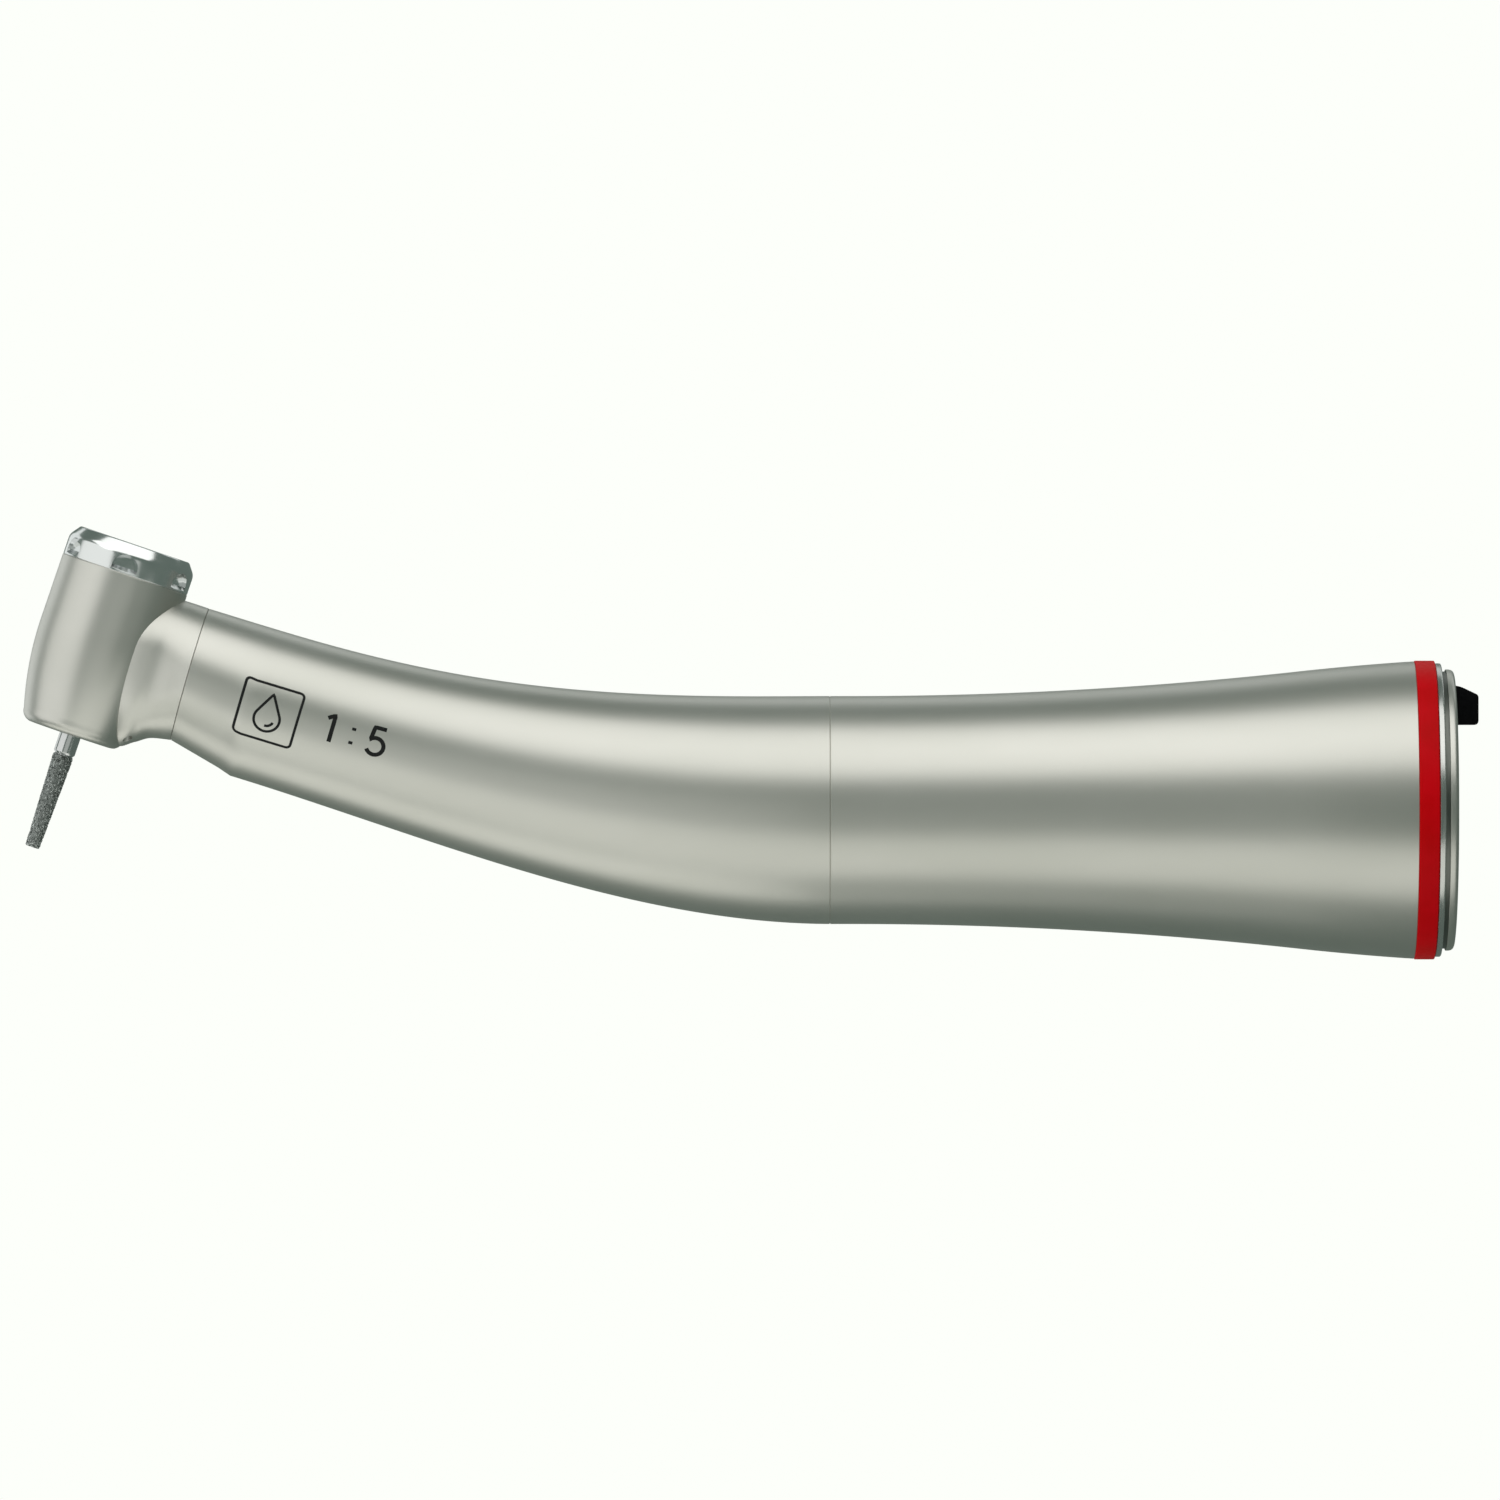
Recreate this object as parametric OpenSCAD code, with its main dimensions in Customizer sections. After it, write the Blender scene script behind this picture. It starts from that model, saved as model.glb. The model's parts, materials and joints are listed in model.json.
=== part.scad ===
// Contra-angle handpiece, 1:5 speed-increasing, friction-grip bur with push-button chuck.
// Millimetres. The origin is the centre of the motor opening; +X leaves it towards the motor,
// the head is at -X, and +Z is up.

/* [Rear sleeve] */
// Length from the parting line to the rear face
sleeve_len = 45.9; // [45.5:0.1:46.5]
// Radius at the parting line
sleeve_front_r = 8.39; // [8.3:0.01:8.5]
// Radius of the long flare of the sleeve's outline
flare_r = 300; // [296:1:304]
// Radius of the colour ring, which is the widest place
ring_r = 11; // [10.9:0.05:11.2]
// Radius of the collar round the motor opening
collar_r = 10.35; // [10.2:0.05:10.5]

/* [Motor coupling] */
// Radius of the motor socket's bore
socket_r = 5.6; // [5.4:0.05:5.65]
// Depth of the full bore
socket_depth = 21; // [18:0.5:22]
// How far the locating key stands out of the rear face
key_reach = 1.78; // [1:0.01:2]

/* [Bent body] */
// Wall of the front shell
shell_wall = 0.75; // [0.7:0.05:0.8]
// Radius of the shell where the straight nose begins
nose_r = 5.65; // [5.6:0.01:5.7]
// Radius of the joint between shell and head
joint_r = 5.03; // [5:0.01:5.1]

/* [Head] */
// Tilt of the head's axis from the vertical, in degrees
head_tilt = 18.8; // [18.7:0.1:18.9]
// Height of the head with its cap
head_h = 14.8; // [14.7:0.05:15]
// Largest radius of the head's barrel
barrel_r = 4.82; // [4.8:0.01:4.9]
// Height of the front shaft's axis above the head's base
shaft_h = 7; // [6.95:0.05:7.05]

/* [Gears] */
// Teeth of the internal ring gear on the drive shaft
ring_teeth = 27; // [27]
// Teeth of the bevel pinion on the front shaft
pinion_teeth = 9; // [9]
// Teeth of the crown gear in the head
crown_teeth = 20; // [20]
// Teeth of the spindle's pinion
spindle_teeth = 12; // [12]

/* [Bur] */
// Radius of the friction-grip shank
shank_r = 0.8; // [0.8]
// Length of the bur below the head
bur_reach = 8.75; // [6:0.25:10]

/* [Hidden] */
$fn = 64;

gap = 0.02;
rim_x = -0.96;
collar_w = 0.62;
shadow_r = 10.2;
ring_back_x = -1.44;
ring_front_x = -2.91;
flare_start_x = 1.5 - sleeve_len;
flare_end_x = 34.5 - sleeve_len;
flare_end_r = 116;

// The bent body's centre line and radius: a curve with four control points, then the nose.
spine = [[-sleeve_len, 0], [-63.2, 0], [-78.5, 4.93], [-88.4, 7.93]];
nose_corner = [-89.4, 8.4];
nose_corner_r = 5.49;
joint = [-93, 9.99];
joint_tilt = 16.2;
shell_sides = 32;

head_at = [-101.8, 0, 5.54];
cap_h = 12.5;
cap_bevel_h = 14;
head_bore_r = 3.2;
neck_bore_r = 3.25;
thread_r = 4.2;
key_half = 1.5;
key_low = 6.26;
key_high = 9.17;

// Bearings: outer radius, inner radius, width, ball radius, balls.
drive_bearing = [4.5, 2, 2.5, 0.75, 8];
front_bearing = [2.5, 1, 2.3, 0.4, 8];
head_bearing = [3.175, 1.5875, 2.38, 0.5, 8];
drive_bearing_at = [-50.6, -34.2];
head_bearing_at = [0.75, 10.3];

// The front shaft's axis leaves the head square to its axis, and crosses the drive shaft's.
apex_d = (head_at.z + shaft_h * cos(head_tilt)) / sin(head_tilt);
apex_x = head_at.x + shaft_h * sin(head_tilt) + apex_d * cos(head_tilt);
front_bearing_at = [4.3, apex_d + 2];

// Bevel pair: pitch cones with the shafts' angle between them.
gear_ratio = ring_teeth / pinion_teeth;
ring_cone = atan(sin(head_tilt) / (cos(head_tilt) - 1 / gear_ratio));
pinion_cone = ring_cone - head_tilt;
cone_in = 8.6;
cone_out = 10.2;
tooth_up = 0.85;
tooth_down = 1.15;

// Crown pair in the head.
crown_in = 2.4;
crown_out = 3.1;
crown_mean = (crown_in + crown_out) / 2;
tooth_pitch = 2 * PI * crown_mean / crown_teeth;
spindle_pitch_r = tooth_pitch * spindle_teeth / (2 * PI);
crown_tip_d = spindle_pitch_r - 0.17;
crown_root_d = spindle_pitch_r + 0.42;

// Light guide and spray tubes.
guide_r = 0.6;
tube_r = 0.4;
tube_spread = 26;
window_d = 4.15;

steel = "silver";
titanium = [0.66, 0.66, 0.62];
brass = [0.78, 0.62, 0.3];

function mix(a, b, t) = a + (b - a) * t;
function ease(t) = t * t * (3 - 2 * t);
function unit(v) = v / norm(v);
function bezier(p, t) = pow(1 - t, 3) * p[0] + 3 * pow(1 - t, 2) * t * p[1]
    + 3 * (1 - t) * t * t * p[2] + pow(t, 3) * p[3];
function slope(p, t) = pow(1 - t, 2) * (p[1] - p[0]) + 2 * (1 - t) * t * (p[2] - p[1])
    + t * t * (p[3] - p[2]);
function spine_tilt(t) = atan2(slope(spine, t)[1], -slope(spine, t)[0]);
function bend_share(t) = max(0, (bezier(spine, t)[0] + sleeve_len) / (spine[3][0] + sleeve_len));
function body_r(t) = mix(nose_r, sleeve_front_r, (1 + cos(180 * pow(bend_share(t), 0.9))) / 2);
function sleeve_r(x) = sleeve_front_r + pow(max(0, x - flare_start_x), 2) / (2 * flare_r)
    - pow(max(0, x - flare_end_x), 2) / (2 * flare_end_r);

// A circle of radius r about a point of the body's centre line, square to its direction.
function body_circle(at, tilt, r) = [for (i = [0:shell_sides - 1])
    let (a = 360 * i / shell_sides)
    [at[0] + r * cos(a) * sin(tilt), r * sin(a), at[1] + r * cos(a) * cos(tilt)]];
// A point inside the shell: out from the centre line, at an angle from the top.
function in_body(t, out, a) = let (at = bezier(spine, t), tilt = spine_tilt(t))
    [at[0] + out * cos(a) * sin(tilt), out * sin(a), at[1] + out * cos(a) * cos(tilt)];
// A point given in the head's own frame.
function from_head(p) = head_at + [p.x * cos(head_tilt) + p.z * sin(head_tilt), p.y,
    p.z * cos(head_tilt) - p.x * sin(head_tilt)];

// The route of the light guide, or of a tube beside it at the given angle.
function guide_route(spread, first_x) = concat(
    [for (p = [[1.6, 7.3], [-6, 7.2], [-20, 6.9], [-27, 6.85], [-33, 6.2], [-40, 6.05]])
        if (p[0] <= first_x) [p[0], p[1] * sin(spread), p[1] * cos(spread)]],
    [for (i = [0:16])
        let (t = 0.02 + 0.96 * i / 16, turn = 180 * ease(min(1, max(0, (t - 0.26) / 0.6))))
        in_body(t, min(6.05, body_r(t) - shell_wall - guide_r - 0.2), spread + turn)],
    guide_nose(spread));
function guide_nose(spread) = [for (p = [[10.2, 3.05], [8, 3.42], [6.8, 3.68], [5.6, 3.3],
    [4.75, 2.6], [4.22, 1.98], [window_d, 1.56]]) from_head([p[0], -port_y(spread), p[1]])];
function port_y(spread) = 4.1 * sin(spread);

module in_head() translate(head_at) rotate([0, head_tilt, 0]) children();
module along_x(x) translate([x, 0, 0]) rotate([0, 90, 0]) children();
module along_front(d) in_head() translate([d, 0, shaft_h]) rotate([0, 90, 0]) children();

module ring(r_out, r_in, low, high) translate([0, 0, low]) difference() {
    cylinder(h = high - low, r = r_out);
    translate([0, 0, -1]) cylinder(h = high - low + 2, r = r_in);
}

// A closed skin through rings of points: round and round, or capped at both ends.
module skin(rings, closed = false) {
    n = len(rings[0]);
    m = len(rings);
    walls = [for (i = [0:m - (closed ? 1 : 2)], j = [0:n - 1])
        [i * n + j, ((i + 1) % m) * n + j, ((i + 1) % m) * n + (j + 1) % n, i * n + (j + 1) % n]];
    caps = closed ? [] : [[for (j = [0:n - 1]) j], [for (j = [n - 1:-1:0]) (m - 1) * n + j]];
    polyhedron([for (r = rings) each r], concat(walls, caps), convexity = 8);
}

// A round tube or wire along a route.
module wire(route, r, sides = 10) {
    m = len(route);
    skin([for (i = [0:m - 1])
        let (way = unit(route[min(m - 1, i + 1)] - route[max(0, i - 1)]),
            u = unit(cross(way, abs(way.y) < 0.8 ? [0, 1, 0] : [0, 0, 1])), v = cross(way, u))
        [for (j = [0:sides - 1]) let (a = 360 * j / sides)
            route[i] + r * (cos(a) * u + sin(a) * v)]]);
}

module coil(r_low, r_high, low, high, turns, wire_r) {
    steps = turns * 15;
    wire([for (i = [0:steps]) let (a = 360 * turns * i / steps, f = i / steps)
        [mix(r_low, r_high, f) * cos(a), mix(r_low, r_high, f) * sin(a), mix(low, high, f)]],
        wire_r, 6);
}

// A gear's outline: straight-sided teeth between two radii, with widths as shares of the pitch.
module gear_outline(teeth, r_root, r_tip, root_share, tip_share) {
    step = 360 / teeth;
    polygon([for (i = [0:teeth - 1], c = [[r_root, -root_share], [r_tip, -tip_share],
        [r_tip, tip_share], [r_root, root_share]])
        let (a = i * step + c[1] * step / 2) [c[0] * cos(a), c[0] * sin(a)]]);
}

function pitch_r(b) = (b[0] + b[1]) / 2;
module race_groove(b) rotate_extrude() translate([pitch_r(b), b[2] / 2]) circle(r = b[3] + gap);
module outer_race(b) difference() {
    ring(b[0], pitch_r(b) + 0.55 * b[3], 0, b[2]);
    race_groove(b);
}
module inner_race(b) difference() {
    ring(pitch_r(b) - 0.55 * b[3], b[1], 0, b[2]);
    race_groove(b);
}
module ball_ring(b, r) for (i = [0:b[4] - 1])
    rotate([0, 0, 360 * i / b[4]]) translate([pitch_r(b), 0, b[2] / 2]) sphere(r = r, $fn = 24);
module ball_cage(b) difference() {
    ring(pitch_r(b) + 0.35 * b[3], pitch_r(b) - 0.35 * b[3], b[2] / 2 - b[3] - 0.2,
        b[2] / 2 + b[3] + 0.2);
    for (i = [0:b[4] - 1]) rotate([0, 0, 360 * i / b[4]])
        translate([pitch_r(b) - b[3], 0, b[2] / 2]) rotate([0, 90, 0])
            cylinder(h = 2 * b[3], r = b[3] + gap);
}
module at_drive_bearings() for (x = drive_bearing_at) along_x(x) children();
module at_front_bearings() for (d = front_bearing_at) along_front(d) children();
module at_head_bearings() in_head() for (h = head_bearing_at) translate([0, 0, h]) children();

// ---- casings at the rear ----

module rear_sleeve() color(titanium) rotate([0, 90, 0]) rotate_extrude() polygon(concat(
    [for (i = [0:22]) let (x = mix(-sleeve_len, ring_front_x, i / 22)) [sleeve_r(x), x]],
    [[9.87, ring_front_x], [9.87, -6.5]],
    [for (x = [-6.5:-3.9:-26]) [sleeve_r(x) - 0.95, x]],
    [[7.5, -30], [7.5, -sleeve_len]]));

module ratio_ring() color([0.75, 0, 0.05]) along_x(0)
    ring(ring_r, 10.3, ring_front_x, ring_back_x);

module rear_rim() color(steel) along_x(0) {
    ring(9.85, 9.3, -6.4, ring_front_x);
    ring(10.28, 9.3, ring_front_x, ring_back_x);
    ring(10.8, 9.3, ring_back_x, rim_x);
}

module end_ring() color(titanium) difference() {
    rotate([0, 90, 0]) rotate_extrude() polygon(concat(
        [[6.22, -2], [8.7, -2], [8.7, -5], [9.28, -5], [9.28, rim_x], [shadow_r, rim_x],
            [shadow_r, -collar_w], [collar_r, -collar_w]],
        [for (a = [0:22.5:90]) [collar_r - 0.45 + 0.45 * cos(a), -0.45 + 0.45 * sin(a)]],
        [[6.6, 0], [6.22, -0.38]]));
    translate([-8, -key_half - gap, 5]) cube([9, 2 * key_half + 2 * gap, key_high + gap - 5]);
}

module locating_key() color("black") difference() {
    rotate([90, 0, 0]) translate([0, 0, -key_half]) linear_extrude(2 * key_half) polygon(
        [[-7, key_low], [key_reach - 0.3, key_low], [key_reach, key_low + 0.3],
            [key_reach, 8.46], [0.3, key_high], [-4.9, key_high], [-4.9, 8.5], [-7, 8.5]]);
    translate([-3, 0, 0]) along_x(0) translate([-7.24, 0, -5]) cylinder(h = 12, r = guide_r + 0.1);
}

module coupling_socket() color(steel) difference() {
    along_x(0) {
        ring(6.2, socket_r, -socket_depth, 0);
        ring(6.2, socket_r + 0.2, -22, -socket_depth);
        ring(6.2, 4.9, -28, -22);
        ring(7.48, 3.2, -29.2, -28);
    }
    intersection() {
        along_x(0) ring(8, 5.9, -30, -27.9);
        translate([-31, -3.9, 5]) cube([4, 7.8, 4]);
    }
}

module spray_manifold() color(brass) difference() {
    along_x(0) ring(7.5, 6.22, -25.5, -22.5);
    translate([-26, -0.8, 5]) cube([4, 1.6, 4]);
}

module sleeve_o_ring() color("dimgray") along_x(-43.9) rotate_extrude()
    translate([7.15, 0]) circle(r = 0.32, $fn = 24);

module shaft_carrier() color(steel) difference() {
    along_x(0) {
        ring(5.4, 4.52, -52.4, -29.22);
        ring(7.4, 4.52, -30.4, -29.22);
    }
    translate([-31, -3.9, 5.2]) cube([2, 7.8, 4]);
}

module carrier_nut() color(brass) difference() {
    along_x(0) ring(6.65, 5.42, -44.8, -41.8);
    translate([-46, -3.2, 4]) cube([6, 6.4, 4]);
}

// ---- bent front shell and what holds the front shaft in it ----

module front_shell() color(titanium) {
    stations = [for (i = [0:14]) let (t = i / 14) [bezier(spine, t), spine_tilt(t), body_r(t)]];
    nose = [[nose_corner, joint_tilt, nose_corner_r], [joint, joint_tilt, joint_r]];
    outside = concat(stations, nose);
    inside = [for (i = [len(outside) - 1:-2:0]) outside[i]];
    skin(concat([for (s = outside) body_circle(s[0], s[1], s[2])],
        [for (s = inside) body_circle(s[0], s[1], s[2] - shell_wall)]), closed = true);
    along_x(0) {
        ring(8, 6.7, -48.6, -sleeve_len);
        difference() {
            ring(7.45, 6.7, -sleeve_len, -41);
            rotate_extrude() translate([7.15, -43.9]) circle(r = 0.35, $fn = 24);
        }
    }
}

module bend_bulkhead() color(steel) {
    t = 0.37;
    at = bezier(spine, t);
    difference() {
        translate([at[0], 0, at[1]]) rotate([0, 90 + spine_tilt(t), 0])
            cylinder(h = 1.2, r = body_r(t) - shell_wall - 0.15);
        along_front(apex_d - 6) cylinder(h = 12, r = 3.02);
        wire(guide_route(0, -40), guide_r + 0.1);
        wire(guide_route(tube_spread, -40), tube_r + 0.1);
        wire(guide_route(-tube_spread, -40), tube_r + 0.1);
    }
}

module front_shaft_tube() color(steel) along_front(0) {
    ring(2.4, 1.3, 7.7, apex_d - 1);
    ring(3, 1.3, apex_d - 1, apex_d + 1.98);
    ring(3, front_bearing[0] + gap, apex_d + 1.98, apex_d + 4.5);
}

module head_housing() color(titanium) {
    barrel = concat([[0, 0]],
        [for (a = [0:18:90]) [3.05 + 0.85 * sin(a), 0.85 - 0.85 * cos(a)]],
        [for (h = [1.7:0.75:7.7]) [barrel_r - 0.92 * pow(1 - min(1, (h - 0.85) / 6.6), 2), h]],
        [[barrel_r, cap_h], [0, cap_h]]);
    // Distance from the head's axis, half width, centre height, top and bottom of the neck.
    neck = [[6.88, joint_r, 7.05, 12.08, 2.02], [5.6, 4.66, 7.35, 12.08, 1.65],
        [4.6, 4.4, 7.6, 12.05, 0.95], [3.7, 4.27, 7.65, 12.02, 0.32],
        [2.6, 4.05, 7.65, 11.95, 0.55], [0.5, 3.5, 7.6, 11.8, 1.1]];
    difference() {
        union() {
            in_head() rotate_extrude() polygon(barrel);
            skin([for (s = neck) neck_section(s)]);
            along_front(6.7) cylinder(h = 2.8, r = 4.15);
        }
        in_head() {
            translate([0, 0, 0.72]) cylinder(h = 14, r = head_bore_r);
            translate([0, 0, -1]) cylinder(h = 3, r = 2.9);
            translate([0, 0, 10.9]) cylinder(h = 3, r = thread_r);
            ring(4.65, 4.37, cap_h - 0.27, cap_h + 1);
            translate([window_d, 0, -1]) cylinder(h = 2.52, r = 0.77);
            for (side = [-1, 1]) translate([window_d, side * port_y(tube_spread), -1])
                cylinder(h = 2.6, r = 0.3);
        }
        along_front(0) cylinder(h = 4.15, r = neck_bore_r);
        along_front(4) cylinder(h = 8, r = front_bearing[0] + gap);
        wire(guide_nose(0), guide_r + 0.05);
        wire(guide_nose(tube_spread), tube_r + 0.05);
        wire(guide_nose(-tube_spread), tube_r + 0.05);
    }
}

// One section of the neck: an arch above its centre, and a deeper rounded trough below.
function neck_section(s) = [for (i = [0:shell_sides - 1])
    let (a = 360 * i / shell_sides, c = cos(a), square = 2 / (s[0] > 6 ? 2 : 2.2),
        half = c > 0 ? s[3] - s[2] : s[2] - s[4],
        up = c > 0 ? c : -pow(-c, square), side = sign(sin(a)) * pow(abs(sin(a)), square),
        lean = s[0] > 6 ? half * up * tan(joint_tilt - head_tilt) : 0)
    from_head([s[0] + lean, s[1] * (c > 0 ? sin(a) : side), s[2] + half * up])];

module front_bearing_nut() color(brass) along_front(0) ring(2.5, 1.5, 6.62, 7.65);

module head_cap() color([0.85, 0.87, 0.9]) in_head() difference() {
    rotate_extrude() polygon([[head_bore_r, 10.95], [thread_r - gap, 10.95],
        [thread_r - gap, cap_h], [4.72, cap_h], [4.8, cap_h + 0.08], [4.8, cap_bevel_h - 0.15],
        [4.74, cap_bevel_h], [4.3, head_h - 0.1], [4.18, head_h], [3.3, head_h],
        [3.15, head_h - 0.15], [3.15, 13.95], [3.6, 13.95], [3.6, 12.85], [head_bore_r, 12.85]]);
    for (i = [0:5]) rotate([0, 0, 60 * i + 30]) intersection() {
        translate([4.42, 0, 12.93]) rotate([0, 90, 0]) cylinder(h = 1, r = 0.97);
        translate([4, -1.5, 12.93]) cube([2, 3, 2]);
    }
}

module cap_o_ring() color("dimgray") in_head() rotate_extrude()
    translate([4.51, cap_h - 0.13]) circle(r = 0.12, $fn = 16);

module preload_washer() color(steel) in_head() ring(3.15, 2.6, 12.7, 12.82);

module button_spring() color(steel) in_head() coil(2.95, 2.2, 12.95, 13.57, 3, 0.11);

module dust_seal() color("dimgray") in_head() ring(2.88, 1.75, 0.12, 0.7);

// ---- light and spray ----

module light_guide() color([0.8, 0.9, 1]) wire(guide_route(0, 2), guide_r);

module light_window() color([0.8, 0.9, 1]) in_head()
    translate([window_d, 0, 1.1]) cylinder(h = 0.4, r = 0.75);

module water_tube() color(steel) wire(guide_route(-tube_spread, -26.9), tube_r);

module air_tube() color(steel) wire(guide_route(tube_spread, -26.9), tube_r);

// ---- bearings: fixed rings ----

module drive_bearing_outers() color(steel) at_drive_bearings() outer_race(drive_bearing);

module drive_bearing_spacer() color(brass) along_x(0)
    ring(4.5, 4, drive_bearing_at[0] + drive_bearing[2] + gap, drive_bearing_at[1] - gap);

module front_bearing_outers() color(steel) at_front_bearings() outer_race(front_bearing);

module head_bearing_outers() color(steel) at_head_bearings() outer_race(head_bearing);

// ---- drive shaft ----

module drive_shaft() color(steel) along_x(0) difference() {
    union() {
        translate([0, 0, -53.6]) cylinder(h = 26.6, r = drive_bearing[1] - 0.01);
        ring(2.5, 1.9, drive_bearing_at[1] - 1.5, drive_bearing_at[1]);
    }
    rotate_extrude() translate([1.75, -31]) square([0.4, 0.5]);
}

module drive_dog() color(steel) difference() {
    along_x(0) ring(2.8, drive_bearing[1], -30, -24.5);
    translate([-26.5, -0.8, -4]) cube([3, 1.6, 8]);
    translate([-28.4, 0, -4]) cylinder(h = 8, r = 0.41);
}

module dog_pin() color(steel) translate([-28.4, 0, 0]) {
    translate([0, 0, 2.02]) cylinder(h = 0.75, r = 0.4);
    translate([0, 0, -2.77]) cylinder(h = 0.75, r = 0.4);
}

module drive_clip() color(steel) along_x(0) difference() {
    ring(2.7, 1.77, -31, -30.6);
    translate([-0.8, 0, -32]) cube([1.6, 4, 3]);
}

module ring_gear() color(brass) along_x(apex_x) {
    out_x = cone_out * cos(ring_cone) + 0.12;
    in_x = cone_in * cos(ring_cone);
    rate = tan(ring_cone);
    module_size = 2 * in_x * rate / ring_teeth;
    difference() {
        union() {
            ring(5.6, 4.8, in_x + 0.6, out_x + 1.5);
            translate([0, 0, in_x]) cylinder(h = 0.6, r1 = 5.2, r2 = 5.6);
            translate([0, 0, out_x + 0.2]) ring(5.6, 4.6, 0, 1.4);
            translate([0, 0, out_x + 1.4]) cylinder(h = 0.8, r1 = 5.6, r2 = 4.6);
            translate([0, 0, in_x + 0.6]) cylinder(h = 0.9, r = 5.6);
        }
        translate([0, 0, in_x - 0.01]) linear_extrude(height = out_x - in_x + 0.02,
            scale = out_x / in_x)
            gear_outline(ring_teeth, in_x * rate - tooth_up * module_size / 2,
                in_x * rate + tooth_down * module_size / 2, 0.72, 0.42);
        translate([0, 0, out_x]) cylinder(h = 1.4, r = 4.95);
        translate([0, 0, -1]) cylinder(h = 20, r = drive_bearing[1]);
    }
    ring(2.9, drive_bearing[1], out_x + 1.4, out_x + 3);
}

module drive_bearing_inners() color(steel) at_drive_bearings() inner_race(drive_bearing);

module drive_bearing_balls() color("white") at_drive_bearings()
    ball_ring(drive_bearing, drive_bearing[3]);

module drive_bearing_cages() color(brass) at_drive_bearings() ball_cage(drive_bearing);

// ---- front shaft ----

module front_shaft() color(steel) along_front(0) {
    translate([0, 0, 1.75]) cylinder(h = apex_d + 7.6 - 1.75, r = front_bearing[1] - 0.01);
    translate([0, 0, apex_d + 7.5]) cylinder(h = 2.4, r = 0.6);
}

module shaft_pinion() color(brass) along_front(apex_d) {
    in_d = cone_in * cos(pinion_cone);
    out_d = cone_out * cos(pinion_cone);
    root_r = in_d * tan(pinion_cone);
    module_size = 2 * root_r / pinion_teeth;
    difference() {
        translate([0, 0, in_d]) linear_extrude(height = out_d - in_d, scale = out_d / in_d)
            gear_outline(pinion_teeth, root_r - tooth_down * module_size / 2 - 0.1,
                root_r + tooth_up * module_size / 2, 0.56, 0.2);
        cylinder(h = 20, r = 0.61);
    }
    ring(1.3, front_bearing[1], 4.35, 7.62);
    ring(1.15, 0.61, 7.6, in_d + 0.05);
}

module crown_gear() color(brass) {
    along_front(0) {
        ring(crown_out, front_bearing[1], crown_root_d - 0.02, 3.1);
        ring(1.6, front_bearing[1], 3.1, 4.28);
    }
    for (i = [0:crown_teeth - 1]) along_front(0) rotate([0, 0, 360 * i / crown_teeth])
        translate([crown_in, 0, 0]) rotate([90, 0, 90]) linear_extrude(crown_out - crown_in - 0.01)
            polygon([[-0.22, crown_root_d], [-0.1, crown_tip_d], [0.1, crown_tip_d],
                [0.22, crown_root_d]]);
}

module front_bearing_inners() color(steel) at_front_bearings() inner_race(front_bearing);

module front_bearing_balls() color("white") at_front_bearings()
    ball_ring(front_bearing, front_bearing[3]);

module front_bearing_cages() color(brass) at_front_bearings() ball_cage(front_bearing);

// ---- spindle and chuck ----

module spindle() color(steel) in_head() difference() {
    union() {
        rotate_extrude() polygon([[0, 0.15], [1.3, 0.15], [1.3, 0.7], [1.575, 0.75],
            [1.575, 3.15], [1.75, 3.15], [1.75, 3.6], [1.3, 3.8], [1.3, 10.2], [1.575, 10.25],
            [1.575, 12.8], [0, 12.8]]);
        translate([0, 0, shaft_h - crown_out]) rotate([0, 0, 180 / spindle_teeth])
            linear_extrude(crown_out - crown_in) gear_outline(spindle_teeth,
                spindle_pitch_r - 0.36, spindle_pitch_r + 0.26, 0.62, 0.22);
    }
    translate([0, 0, -1]) cylinder(h = 14, r = shank_r + 0.05);
    translate([0, 0, 0.9]) cylinder(h = 9.5, r = 1.08);
    translate([0, 0, 10.55]) cylinder(h = 3, r = 1.32);
}

module chuck_collet() color(steel) in_head() difference() {
    ring(1.06, shank_r + gap, 1, 10.3);
    for (a = [0, 120, 240]) rotate([0, 0, a]) translate([0, -0.12, 6]) cube([2, 0.24, 5]);
}

module chuck_spring() color(steel) in_head() coil(1.08, 1.08, 10.78, 12.72, 4, 0.1);

module head_bearing_inners() color(steel) at_head_bearings() inner_race(head_bearing);

module head_bearing_balls() color("white") at_head_bearings()
    ball_ring(head_bearing, head_bearing[3]);

module head_bearing_cages() color(brass) at_head_bearings() ball_cage(head_bearing);

module release_plunger() color(steel) in_head() rotate_extrude()
    polygon([[0, 10.62], [0.5, 10.62], [0.78, 10.9], [0.78, 12.88], [1.22, 12.88],
        [1.22, 13.2], [1.1, 13.3], [0, 13.3]]);

module push_button() color([0.75, 0.77, 0.8]) in_head() rotate_extrude() polygon(
    [[0, 13.7], [3.5, 13.7], [3.5, 13.93], [3.1, 13.93], [3.1, 14.6], [2.98, 14.72],
        [2.3, 14.72], [2.2, 14.64], [0, 14.58]]);

// ---- bur ----

module bur_shank() color(steel) in_head() rotate_extrude() polygon(
    [[0, 0.15 - bur_reach], [0.42, 0.15 - bur_reach], [0.66, -1.55], [shank_r, -1.4],
        [shank_r, 10.05], [0.6, 10.25], [0, 10.25]]);

module bur_diamond_coat() color("gray") in_head() difference() {
    rotate_extrude() polygon([[0, -bur_reach], [0.5, -bur_reach], [0.58, 0.08 - bur_reach],
        [0.8, -1.7], [0.7, -1.56], [0, -1.56]]);
    rotate_extrude() polygon([[0, 0.15 - bur_reach], [0.42, 0.15 - bur_reach], [0.66, -1.55],
        [0.66, -1.5], [0, -1.5]]);
}

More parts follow.
